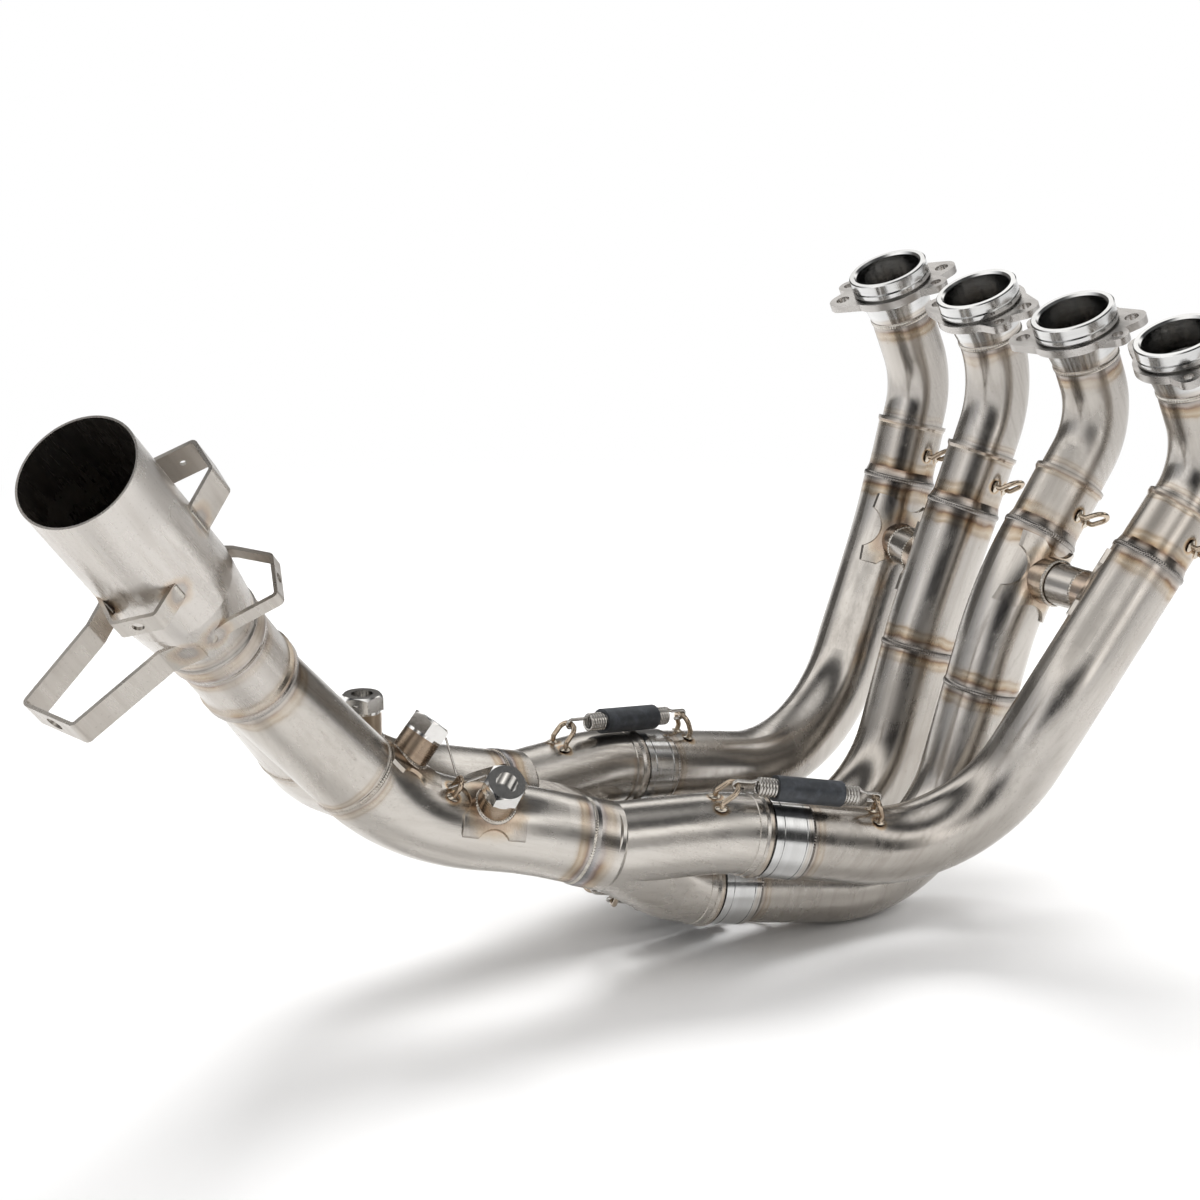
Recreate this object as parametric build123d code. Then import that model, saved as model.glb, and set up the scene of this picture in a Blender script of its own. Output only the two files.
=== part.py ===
from build123d import *
import math
import os
from dataclasses import dataclass

# A four into two into one exhaust header for an inline four, in millimetres.
# +X points forward to the ports, +Y to the rider's left, +Z up from the ground.
# Pipes 1 and 2 form the left bank, pipes 3 and 4 the right bank.

# Port row
PORT_PITCH = 88.0
PORT_ROW_X = 310.0
PORT_HEIGHT = 348.3
PORT_TILT = 22.6

# Tube sizes, all outside diameters
INLET_OD = 39.0
HEADER_OD = 44.5
LEG_OD = 45.6
SECONDARY_OD = 48.0
NECK_OD = 51.0
OUTLET_OD = 62.6
TUBE_WALL = 1.2
SLIP_CLEARANCE = 0.2

# Turned spigot at each port, distances run down from its rim
SPIGOT_RIM_OD = 50.0
SPIGOT_BORE = 41.0
SPIGOT_NECK_OD = 43.6
SPIGOT_BAND = 6.3
SPIGOT_GROOVE = 1.2
SPIGOT_GROOVE_DEPTH = 1.5
SPIGOT_RING = 2.6
SPIGOT_NECK_END = 19.0
SPIGOT_LENGTH = 33.0
SPIGOT_CHAMFER = 1.3

# Loose two-ear flange on each spigot
FLANGE_CLEARANCE = 0.1
FLANGE_THICKNESS = 4.7
FLANGE_GAP = 1.2
FLANGE_BODY_R = 28.0
FLANGE_PCD = 65.0
FLANGE_HOLE = 8.5
FLANGE_EAR_R = 8.6
FLANGE_EAR_ROOT_R = 17.0
FLANGE_LOBE_R = 6.8
FLANGE_LOBE_HOLE = 6.6
FLANGE_LOBE_TURN = -36.0
FLANGE_TURNS = (-32.5, -75.0, -49.5, -90.7)

# Upper slip socket
LIP_DROP = 101.0
SOCKET_LENGTH = 39.0
SOCKET_WALL = 1.2
SOCKET_LIP_LENGTH = 4.0
SOCKET_LIP_RISE = 1.0
SOCKET_FLARE_LENGTH = 5.0
INLET_INSERTION = 24.0
BEAD_WIDTH = 2.4
BEAD_RISE = 0.6

# Third weld on the two inner pipes
THIRD_WELD_DROP = 220.0

# Lower slip joint
SLIP_RING_LENGTH = 25.0
SLIP_RING_OD = 47.0
SLIP_SPIGOT_LENGTH = 7.0
SLIP_GROOVE_DEPTH = 0.4
SLIP_GROOVE_WIDTH = 0.8
SLIP_GROOVE_INSET = 4.5
SLIP_GAP = 0.8
LEG_LIP_LENGTH = 10.0
LEG_LIP_BAND = 4.4
LEG_BEAD_OD = 49.0

# Bank collectors, sideways places are for the left bank
KNEE_UPPER = (-258.0, 65.0, -264.6)
KNEE_LOWER = (-268.0, 33.4, -303.0)
KNEE_UPPER_JOINT = 22.0
KNEE_LOWER_JOINT = 20.0
KNEE_UPPER_R = 150.0
KNEE_LOWER_R = 75.0
BANK_OUTLET = (-328.0, 50.0, -263.0)
BANK_RING_LENGTH = 14.0
BANK_RING_OD = 49.8

# Second pipes, merge collector and outlet
RIGHT_SECOND_KNEE = (-371.0, -42.0, -248.0)
RIGHT_MERGE_KNEE = (-434.0, -22.0, -237.0)
LEFT_SECOND_KNEE = (-390.0, 46.0, -245.0)
LEFT_MERGE_KNEE = (-457.0, 26.0, -219.0)
SECOND_KNEE_R = 150.0
MERGE_KNEE_R = 110.0
RIGHT_MERGE_RUN = 48.0
LEFT_MERGE_RUN = 45.0
MOUTH = (-641.8, -100.0, -4.0)
OUTLET_HEADING = 29.7
OUTLET_CLIMB = 45.4
OUTLET_STRAIGHT = 100.0
OUTLET_CONE = 36.0
COLLAR_LENGTH = 14.0
COLLAR_OD = 54.0
NECK_LENGTH = 38.0
NECK_RING_LENGTH = 8.0
NECK_RING_OD = 53.4

# Balance tubes between neighbouring pipes
BALANCE_DROPS = {"left": 172.0, "right": 153.0}
BALANCE_OD = 21.6
BALANCE_SLEEVE_OD = 24.6
BALANCE_SLEEVE_SHARE = 0.62
COLLAR_HEIGHT = 7.0
COLLAR_WALL = 1.6
SADDLE_THICKNESS = 1.6
SADDLE_WIDTH = 40.0
SADDLE_HEIGHT = 44.0
SADDLE_BITE = 16.0

# Sensor bosses and their plugs
BOSS_OD = 21.0
BOSS_HEIGHT = 14.0
BOSS_BORE = 16.4
PLUG_FLATS = 21.0
PLUG_HEAD = 8.5
PLUG_COLLAR = 1.6
PLUG_SHANK = 8.0
PLUG_SHANK_OD = 16.0
PLUG_RECESS_OD = 12.0
PLUG_RECESS_DEPTH = 6.0
PLUG_WIRE_HOLE = 1.8
PLUG_WIRE_INSET = 2.6
PAD_SIZE = 35.0
PAD_BITE = 10.5
LOCK_WIRE_OD = 1.2
LOCK_WIRE_TAIL = 6.0
EYE_WIDTH = 7.0
EYE_HEIGHT = 10.0

# Springs, their rubber sleeves and welded hooks
SPRING_REACH = 85.0
SPRING_OD = 11.0
SPRING_WIRE = 2.0
SPRING_COIL_LENGTH = 66.0
UPPER_STAND_OFF = 11.4
LOWER_STAND_OFF = 13.5
SLEEVE_OD = 14.6
SLEEVE_LENGTH = 42.0
HOOK_WIRE = 3.0
HOOK_WIDTH = 11.0
HOOK_HEIGHT = 12.5
HOOK_LEAN = 7.0
HOOK_PLAY = 0.1

# Brackets on the outlet
STRAP_THICKNESS = 2.0
STRAP_BEND = 2.5

BANKS = {"left": 1.0, "right": -1.0}


@dataclass(frozen=True)
class Pipe:
    """Route of one header pipe, given from the middle of the port row."""

    number: int
    side: float
    bend: float
    slope: tuple
    belly: tuple
    radii: tuple
    upper: bool

    @property
    def bank(self):
        return "left" if self.side > 0 else "right"


PIPES = (
    Pipe(1, 1.5, 80.0, (4, -3, 168), (-74, -32, 308), (60, 180, 100), True),
    Pipe(2, 0.5, 66.4, (-32, 0, 206), (-77, -6, 336), (75, 250, 80), False),
    Pipe(3, -0.5, 72.7, (-40, 0, 164), (-91, 6, 340), (48, 200, 80), False),
    Pipe(4, -1.5, 83.0, (-65, 8, 204), (-104, 44, 302), (50, 140, 85), True),
)


def place(forward, side, rise):
    """A point given from the middle of the port row."""
    return Vector(PORT_ROW_X + forward, side, PORT_HEIGHT + rise)


def toward(start, end, distance):
    """The point that lies a distance from the start on the way to the end."""
    return start + (end - start).normalized() * distance


def at_drop(start, end, drop):
    """The point on a run that lies a drop below the port row."""
    height = PORT_HEIGHT - drop
    return start + (end - start) * ((height - start.Z) / (end.Z - start.Z))


def across(direction, reference):
    """The part of a reference direction that is square to a direction, as a unit."""
    return (reference - direction * reference.dot(direction)).normalized()


def around(direction, angle):
    """A unit square to a direction, turned from the left side towards the top."""
    top = across(direction, Vector(0, 0, 1))
    left = across(direction, Vector(0, 1, 0) - top * top.Y)
    turn = math.radians(angle)
    return left * math.cos(turn) + top * math.sin(turn)


def rod(path, radius):
    """A round bar along a path."""
    start = Plane(origin=path @ 0, z_dir=path % 0)
    return sweep(start * Circle(radius), path=path)


def tube(path, outer, wall=TUBE_WALL):
    """A round tube of an outside diameter along a path."""
    start = Plane(origin=path @ 0, z_dir=path % 0)
    ring = Circle(outer / 2) - Circle(outer / 2 - wall)
    return sweep(start * ring, path=path)


def bar(start, end, diameter):
    """A straight round bar between two points."""
    length = (end - start).length
    base = Plane(origin=start, z_dir=end - start)
    return base * Cylinder(diameter / 2, length, align=(Align.CENTER, Align.CENTER, Align.MIN))


def turned(base, profile):
    """A turned part from radius and distance pairs along the base plane's normal."""
    face = make_face(Polyline(*[(r, 0, h) for r, h in profile], close=True))
    return base * revolve(face, Axis.Z)


def rim_plane(pipe):
    """The plane of a port spigot's rim, its normal pointing out of the pipe."""
    tilt = math.radians(PORT_TILT)
    out = Vector(-math.sin(tilt), 0, math.cos(tilt))
    forward = Vector(math.cos(tilt), 0, math.sin(tilt))
    return Plane(origin=place(0, pipe.side * PORT_PITCH, 0), x_dir=forward, z_dir=out)


def bend_point(pipe):
    """Where the spigot's axis meets the run to the slip socket."""
    rim = rim_plane(pipe)
    return rim.origin - rim.z_dir * pipe.bend


def slope_point(pipe):
    """Where the socket's run meets the down pipe."""
    forward, shift, drop = pipe.slope
    return place(forward, pipe.side * PORT_PITCH + shift, -drop)


def belly_point(pipe):
    """Where the down pipe meets the run under the engine."""
    forward, shift, drop = pipe.belly
    return place(forward, pipe.side * PORT_PITCH + shift, -drop)


def knee_point(pipe):
    """Where the run under the engine meets the collector's leg."""
    forward, side, rise = KNEE_UPPER if pipe.upper else KNEE_LOWER
    return place(forward, side * BANKS[pipe.bank], rise)


def bank_outlet(bank):
    """The centre of a bank collector's outlet."""
    forward, side, rise = BANK_OUTLET
    return place(forward, side * BANKS[bank], rise)


def lip_point(pipe):
    """The centre of the upper slip socket's mouth."""
    return at_drop(bend_point(pipe), slope_point(pipe), LIP_DROP)


def socket_end(pipe):
    """The centre of the weld between the socket and the header tube."""
    return toward(lip_point(pipe), slope_point(pipe), SOCKET_LENGTH)


def joint_point(pipe):
    """The centre of the lower slip joint, where the ring meets the leg's lip."""
    run = KNEE_UPPER_JOINT if pipe.upper else KNEE_LOWER_JOINT
    return toward(knee_point(pipe), belly_point(pipe), run)


def ring_end(pipe):
    """The centre of the weld between the header tube and its slip ring."""
    return toward(joint_point(pipe), belly_point(pipe), SLIP_RING_LENGTH)


def header_path(pipe):
    """The header tube's centre line, from the upper socket to the slip ring."""
    return FilletPolyline(
        socket_end(pipe), slope_point(pipe), belly_point(pipe), ring_end(pipe), radius=pipe.radii[1:]
    )


def leg_path(pipe, extra=0.0):
    """The centre line of a collector's leg, from its lip to the bank outlet."""
    end = bank_outlet(pipe.bank)
    radius = KNEE_UPPER_R if pipe.upper else KNEE_LOWER_R
    past = end + (end - knee_point(pipe)).normalized() * extra
    return FilletPolyline(joint_point(pipe), knee_point(pipe), past, radius=[radius])


def outlet_axis():
    """The unit that points out of the header's outlet."""
    heading = math.radians(OUTLET_HEADING)
    climb = math.radians(OUTLET_CLIMB)
    level = math.cos(climb)
    return Vector(-level * math.cos(heading), -level * math.sin(heading), math.sin(climb))


def outlet_point(depth):
    """A point on the outlet's axis, a depth in from its mouth."""
    return place(*MOUTH) - outlet_axis() * depth


def neck_start():
    """The depth at which the merge collector ends and the neck starts."""
    return OUTLET_STRAIGHT + OUTLET_CONE + COLLAR_LENGTH + NECK_LENGTH


def merge_corners(bank):
    """The two corners of a second pipe and the point where it meets the neck."""
    if bank == "left":
        corners = (LEFT_SECOND_KNEE, LEFT_MERGE_KNEE)
    else:
        corners = (RIGHT_SECOND_KNEE, RIGHT_MERGE_KNEE)
    return [place(*corner) for corner in corners] + [outlet_point(neck_start())]


def merge_ring(bank):
    """The centre of the weld between a second pipe and the merge collector."""
    run = LEFT_MERGE_RUN if bank == "left" else RIGHT_MERGE_RUN
    second, knee, neck = merge_corners(bank)
    return toward(knee, neck, run)


def second_path(bank):
    """The centre line of a second pipe, from the bank's ring to the merge collector."""
    second, knee, neck = merge_corners(bank)
    start = toward(bank_outlet(bank), second, BANK_RING_LENGTH)
    return FilletPolyline(start, second, knee, merge_ring(bank), radius=[SECOND_KNEE_R, MERGE_KNEE_R])


def port_spigot(pipe):
    """Turned port end with a sealing band, a groove, a ring and a neck for the flange."""
    rim = SPIGOT_RIM_OD / 2
    groove = SPIGOT_BAND + SPIGOT_GROOVE
    shoulder = groove + SPIGOT_RING
    bore = SPIGOT_BORE / 2
    inlet = INLET_OD / 2
    profile = [
        (bore + SPIGOT_CHAMFER, 0),
        (rim - SPIGOT_CHAMFER / 2, 0),
        (rim, -SPIGOT_CHAMFER / 2),
        (rim, -SPIGOT_BAND),
        (rim - SPIGOT_GROOVE_DEPTH, -SPIGOT_BAND),
        (rim - SPIGOT_GROOVE_DEPTH, -groove),
        (rim, -groove),
        (rim, -shoulder),
        (SPIGOT_NECK_OD / 2, -shoulder),
        (SPIGOT_NECK_OD / 2, -SPIGOT_NECK_END),
        (inlet, -SPIGOT_LENGTH + BEAD_WIDTH),
        (inlet + BEAD_RISE, -SPIGOT_LENGTH + BEAD_WIDTH / 2),
        (inlet, -SPIGOT_LENGTH),
        (inlet - TUBE_WALL, -SPIGOT_LENGTH),
        (bore, -SPIGOT_NECK_END),
        (bore, -SPIGOT_CHAMFER),
    ]
    return turned(rim_plane(pipe), profile)


def flange_outline():
    """Two long ears and two shorter lobes round a central disc."""
    reach = FLANGE_PCD / 2
    outline = Circle(FLANGE_BODY_R)
    for turn in (0, 180):
        root = Pos(reach / 2, 0) * Circle(FLANGE_EAR_ROOT_R)
        tip = Pos(reach, 0) * Circle(FLANGE_EAR_R)
        ear = make_hull(root.edges() + tip.edges())
        outline += Rot(0, 0, turn) * ear
        lobe_root = Pos(reach / 2, 0) * Circle(FLANGE_LOBE_R * 2)
        lobe_tip = Pos(reach, 0) * Circle(FLANGE_LOBE_R)
        lobe = make_hull(lobe_root.edges() + lobe_tip.edges())
        outline += Rot(0, 0, turn + FLANGE_LOBE_TURN) * lobe
    for turn, hole in ((0, FLANGE_HOLE), (FLANGE_LOBE_TURN, FLANGE_LOBE_HOLE)):
        for half in (0, 180):
            outline -= Rot(0, 0, turn + half) * Pos(reach, 0) * Circle(hole / 2)
    return outline - Circle(SPIGOT_NECK_OD / 2 + FLANGE_CLEARANCE)


def port_flange(pipe):
    """Loose flange that turns on the spigot's neck, with softened outer edges."""
    top = SPIGOT_BAND + SPIGOT_GROOVE + SPIGOT_RING + FLANGE_GAP
    plate = extrude(flange_outline(), -FLANGE_THICKNESS)
    turn = FLANGE_TURNS[pipe.number - 1]
    return rim_plane(pipe) * Pos(0, 0, -top) * Rot(0, 0, turn) * plate


def inlet_bend(pipe):
    """Bent inlet tube from the spigot into the upper slip socket."""
    plane = rim_plane(pipe)
    start = plane.origin - plane.z_dir * SPIGOT_LENGTH
    end = toward(lip_point(pipe), slope_point(pipe), INLET_INSERTION)
    path = FilletPolyline(start, bend_point(pipe), end, radius=[pipe.radii[0]])
    return tube(path, INLET_OD)


def upper_socket(pipe):
    """Slip socket with a rolled lip, flared to the header tube and its weld."""
    inner = INLET_OD / 2 + SLIP_CLEARANCE
    outer = inner + SOCKET_WALL
    header = HEADER_OD / 2
    flare = SOCKET_LENGTH - SOCKET_FLARE_LENGTH
    profile = [
        (inner, 0),
        (outer + SOCKET_LIP_RISE, 0),
        (outer + SOCKET_LIP_RISE, SOCKET_LIP_LENGTH / 2),
        (outer, SOCKET_LIP_LENGTH),
        (outer, flare - BEAD_WIDTH),
        (header, SOCKET_LENGTH - BEAD_WIDTH),
        (header + BEAD_RISE, SOCKET_LENGTH - BEAD_WIDTH / 2),
        (header, SOCKET_LENGTH),
        (header - TUBE_WALL, SOCKET_LENGTH),
        (header - TUBE_WALL, SOCKET_LENGTH - BEAD_WIDTH),
        (inner, flare - BEAD_WIDTH),
    ]
    base = Plane(origin=lip_point(pipe), z_dir=slope_point(pipe) - lip_point(pipe))
    return turned(base, profile)


def header_tubes(pipe):
    """The header tube, in two lengths where the inner pipes have a third weld."""
    start = socket_end(pipe)
    slope = slope_point(pipe)
    belly = belly_point(pipe)
    end = ring_end(pipe)
    if pipe.upper:
        return {f"header_tube_{pipe.number}": tube(header_path(pipe), HEADER_OD)}
    weld = at_drop(slope, belly, THIRD_WELD_DROP)
    top_path = FilletPolyline(start, slope, weld, radius=[pipe.radii[1]])
    low_path = FilletPolyline(weld, belly, end, radius=[pipe.radii[2]])
    header = HEADER_OD / 2
    bead = turned(
        Plane(origin=weld, z_dir=belly - weld),
        [
            (header - TUBE_WALL / 2, 0),
            (header, 0),
            (header + BEAD_RISE, BEAD_WIDTH / 2),
            (header, BEAD_WIDTH),
            (header - TUBE_WALL / 2, BEAD_WIDTH),
        ],
    )
    return {
        f"header_tube_{pipe.number}_upper": tube(top_path, HEADER_OD),
        f"header_tube_{pipe.number}_lower": tube(low_path, HEADER_OD) + bead,
    }


def slip_ring(pipe):
    """Turned ring welded to the header tube, with a spigot that slides into the leg."""
    outer = SLIP_RING_OD / 2
    header = HEADER_OD / 2
    spigot = LEG_OD / 2 - TUBE_WALL - SLIP_CLEARANCE
    bore = spigot - TUBE_WALL
    low = outer - SLIP_GROOVE_DEPTH
    first = SLIP_GAP + SLIP_GROOVE_INSET
    second = SLIP_RING_LENGTH - SLIP_GROOVE_INSET
    profile = [
        (bore, -SLIP_SPIGOT_LENGTH),
        (spigot, -SLIP_SPIGOT_LENGTH),
        (spigot, SLIP_GAP),
        (outer, SLIP_GAP),
        (outer, first),
        (low, first),
        (low, first + SLIP_GROOVE_WIDTH),
        (outer, first + SLIP_GROOVE_WIDTH),
        (outer, second - SLIP_GROOVE_WIDTH),
        (low, second - SLIP_GROOVE_WIDTH),
        (low, second),
        (outer, second),
        (outer, SLIP_RING_LENGTH - BEAD_RISE),
        (header, SLIP_RING_LENGTH),
        (bore, SLIP_RING_LENGTH),
    ]
    base = Plane(origin=joint_point(pipe), z_dir=belly_point(pipe) - joint_point(pipe))
    return turned(base, profile)


def leg_lip(pipe):
    """Plain band and round bead at the mouth of a collector's leg."""
    outer = LEG_OD / 2
    bead = LEG_BEAD_OD / 2
    inner = outer - TUBE_WALL / 2
    round_start = LEG_LIP_BAND + BEAD_RISE
    width = LEG_LIP_LENGTH - round_start
    outline = [
        (inner, 0),
        (bead - width / 4, 0),
        (bead, width / 4),
        (bead, width * 0.75),
        (bead - width / 4, width),
        (outer + BEAD_RISE, width + BEAD_RISE),
        (outer + BEAD_RISE, LEG_LIP_LENGTH - BEAD_RISE),
        (inner, LEG_LIP_LENGTH),
    ]
    base = Plane(origin=joint_point(pipe), z_dir=knee_point(pipe) - joint_point(pipe))
    return turned(base, outline)


def bank_collector(bank):
    """Two legs that merge into one ring, as one hollow welded piece."""
    legs = [pipe for pipe in PIPES if pipe.bank == bank]
    outlet = bank_outlet(bank)
    second = merge_corners(bank)[0]
    axis = (second - outlet).normalized()
    cut = Plane(origin=outlet, z_dir=axis)
    ring_outer = BANK_RING_OD / 2
    bore = SECONDARY_OD / 2 - TUBE_WALL
    shell = None
    core = None
    for pipe in legs:
        path = leg_path(pipe, BANK_RING_LENGTH)
        skin = rod(path, LEG_OD / 2)
        hollow = rod(path, LEG_OD / 2 - TUBE_WALL)
        skin = split(skin, bisect_by=cut, keep=Keep.BOTTOM)
        hollow = split(hollow, bisect_by=cut, keep=Keep.BOTTOM)
        skin += leg_lip(pipe)
        shell = skin if shell is None else shell + skin
        core = hollow if core is None else core + hollow
    back = BANK_RING_LENGTH / 2
    ring = turned(
        cut,
        [
            (0, -back),
            (LEG_OD / 2 - TUBE_WALL / 2, -back),
            (ring_outer, -back / 2),
            (ring_outer, BANK_RING_LENGTH - BEAD_WIDTH),
            (SECONDARY_OD / 2 + BEAD_RISE, BANK_RING_LENGTH),
            (0, BANK_RING_LENGTH),
        ],
    )
    hole = turned(cut, [(0, 0), (bore, 0), (bore, BANK_RING_LENGTH), (0, BANK_RING_LENGTH)])
    return shell + ring - core - hole


def merge_seam(bank):
    """The plane between the two branches, its normal pointing to the bank's own side."""
    neck = outlet_point(neck_start())
    other = "right" if bank == "left" else "left"
    own_branch = (merge_ring(bank) - neck).normalized()
    other_branch = (merge_ring(other) - neck).normalized()
    return Plane(origin=neck, z_dir=own_branch - other_branch)


def second_tube(bank):
    """Bent tube from a bank's ring to the merge collector, cut where the two tubes meet."""
    path = second_path(bank)
    outer = SECONDARY_OD / 2
    end = merge_ring(bank)
    neck = merge_corners(bank)[2]
    bead = turned(
        Plane(origin=end, z_dir=end - neck),
        [
            (outer - TUBE_WALL / 2, 0),
            (outer, 0),
            (outer + BEAD_RISE, BEAD_WIDTH / 2),
            (outer, BEAD_WIDTH),
            (outer - TUBE_WALL / 2, BEAD_WIDTH),
        ],
    )
    return split(tube(path, SECONDARY_OD) + bead, bisect_by=merge_seam(bank), keep=Keep.TOP)


def merge_collector():
    """Two straight branches that meet at the neck, as one hollow piece."""
    neck = outlet_point(neck_start())
    cut = Plane(origin=neck, z_dir=outlet_axis())
    shell = None
    core = None
    for bank in BANKS:
        start = merge_ring(bank)
        past = toward(start, neck, (neck - start).length + SECONDARY_OD / 2)
        seam = merge_seam(bank)
        skin = split(bar(start, past, SECONDARY_OD), bisect_by=cut, keep=Keep.BOTTOM)
        skin = split(skin, bisect_by=seam, keep=Keep.TOP)
        inside = bar(start, past, SECONDARY_OD - 2 * TUBE_WALL)
        inside = split(inside, bisect_by=cut, keep=Keep.BOTTOM)
        shell = skin if shell is None else shell + skin
        core = inside if core is None else core + inside
    return shell - core


def collector_neck():
    """Short tube between the merge collector and the outlet's collar, with a double ring."""
    outer = NECK_OD / 2
    inner = outer - TUBE_WALL
    ring = NECK_RING_OD / 2
    step = NECK_RING_LENGTH / 4
    profile = [
        (inner, 0),
        (ring, 0),
        (ring, step),
        (ring - BEAD_RISE, 1.5 * step),
        (ring, 2 * step),
        (ring, 3 * step),
        (outer, 4 * step),
        (outer, NECK_LENGTH),
        (inner, NECK_LENGTH),
    ]
    base = Plane(origin=outlet_point(neck_start()), z_dir=outlet_axis())
    return turned(base, profile)


def outlet_pipe():
    """Collar, cone and straight outlet tube that the silencer's link pipe slides over."""
    outer = OUTLET_OD / 2
    neck = NECK_OD / 2
    collar = COLLAR_OD / 2
    cone_start = OUTLET_STRAIGHT + OUTLET_CONE
    end = cone_start + COLLAR_LENGTH
    profile = [
        (outer - TUBE_WALL, 0),
        (outer, 0),
        (outer, -OUTLET_STRAIGHT),
        (collar, -cone_start),
        (collar + BEAD_RISE, -cone_start - BEAD_WIDTH / 2),
        (collar, -cone_start - BEAD_WIDTH),
        (collar, -end + BEAD_WIDTH),
        (neck + BEAD_RISE, -end),
        (neck - TUBE_WALL, -end),
        (collar - TUBE_WALL, -end + BEAD_WIDTH),
        (collar - TUBE_WALL, -cone_start),
        (outer - TUBE_WALL, -OUTLET_STRAIGHT),
    ]
    return turned(Plane(origin=place(*MOUTH), z_dir=outlet_axis()), profile)


def header_skin(pipe, extra=0.0):
    """The solid form of a header tube, to trim what is welded to it."""
    return rod(header_path(pipe), HEADER_OD / 2 + extra)


def scalloped(width, height, bite):
    """A plate outline with its four sides hollowed by arcs."""
    plate = Rectangle(width, height)
    reach = bite * 0.62
    for x, y in ((0, 1), (0, -1), (1, 0), (-1, 0)):
        centre = Pos(x * (width / 2 + reach), y * (height / 2 + reach))
        plate -= centre * Circle(bite)
    return plate


def bank_pair(bank):
    """The outer and the inner pipe of a bank."""
    pair = [pipe for pipe in PIPES if pipe.bank == bank]
    return sorted(pair, key=lambda pipe: not pipe.upper)


def balance_ends(bank):
    """The points of the two pipes' centre lines that a balance tube joins."""
    ends = []
    for pipe in bank_pair(bank):
        path = header_path(pipe)
        height = PORT_HEIGHT - BALANCE_DROPS[bank]
        cut = Plane(origin=(0, 0, height), z_dir=(0, 0, 1))
        low = 0.0
        high = 0.5
        for _ in range(30):
            middle = (low + high) / 2
            if (path @ middle).Z > cut.origin.Z:
                low = middle
            else:
                high = middle
        ends.append((path @ low, path % low))
    return ends


def balance_tube(bank):
    """Slip tube that joins a bank's two pipes, trimmed to both."""
    (outer_end, _), (inner_end, _) = balance_ends(bank)
    whole = bar(outer_end, inner_end, BALANCE_OD) - bar(outer_end, inner_end, BALANCE_OD - 2 * TUBE_WALL)
    for pipe in bank_pair(bank):
        whole -= header_skin(pipe)
    return whole


def balance_sleeve(bank):
    """Wider sleeve that is slid over the balance tube and welded to the inner pipe's saddle."""
    (outer_end, _), (inner_end, _) = balance_ends(bank)
    length = (outer_end - inner_end).length
    end = toward(inner_end, outer_end, length * BALANCE_SLEEVE_SHARE)
    inner_pipe = bank_pair(bank)[1]
    whole = bar(inner_end, end, BALANCE_SLEEVE_OD) - bar(inner_end, end, BALANCE_OD)
    return whole - header_skin(inner_pipe)


def saddle(bank, index):
    """Scalloped saddle plate wrapped on a pipe round the end of the balance tube."""
    ends = balance_ends(bank)
    centre, along = ends[index]
    other = ends[1 - index][0]
    pipe = bank_pair(bank)[index]
    out = across(along, other - centre)
    base = Plane(origin=centre, x_dir=along, z_dir=out)
    plate = base * extrude(scalloped(SADDLE_HEIGHT, SADDLE_WIDTH, SADDLE_BITE), HEADER_OD)
    plate = plate & header_skin(pipe, SADDLE_THICKNESS)
    reach = HEADER_OD / 2 + SADDLE_THICKNESS + COLLAR_HEIGHT
    bore = BALANCE_SLEEVE_OD if index == 1 else BALANCE_OD
    tip = toward(centre, other, reach)
    collar = bar(centre, tip, bore + 2 * COLLAR_WALL)
    return plate + collar - bar(centre, tip, bore) - header_skin(pipe)


def second_skin(bank, extra=0.0):
    """The solid form of a second pipe, to trim what is welded to it."""
    return rod(second_path(bank), SECONDARY_OD / 2 + extra)


@dataclass(frozen=True)
class Sensor:
    """Place of one sensor boss on a second pipe."""

    name: str
    bank: str
    before_ring: float
    angle: float
    upright: bool
    hole_side: float


SENSORS = (
    Sensor("left", "left", 76.0, 90.0, True, 1.0),
    Sensor("merge", "right", 25.0, 94.0, False, -1.0),
    Sensor("right", "right", 88.0, 132.0, False, 1.0),
)


def sensor_plane(sensor):
    """The plane on a second pipe's centre line whose normal is the boss's axis."""
    path = second_path(sensor.bank)
    station = 1 - sensor.before_ring / path.length
    centre = path @ station
    along = path % station
    out = Vector(0, 0, 1) if sensor.upright else around(along, sensor.angle)
    return Plane(origin=centre, x_dir=across(out, along), z_dir=out)


def boss_top():
    """Height of a boss's face over the centre line of the pipe."""
    return SECONDARY_OD / 2 + BOSS_HEIGHT


def sensor_boss(sensor):
    """Threaded boss welded to the pipe, bored for the plug."""
    base = sensor_plane(sensor)
    block = Cylinder(BOSS_OD / 2, boss_top(), align=(Align.CENTER, Align.CENTER, Align.MIN))
    bore = Cylinder(BOSS_BORE / 2, boss_top(), align=(Align.CENTER, Align.CENTER, Align.MIN))
    return base * (block - bore) - second_skin(sensor.bank)


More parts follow.
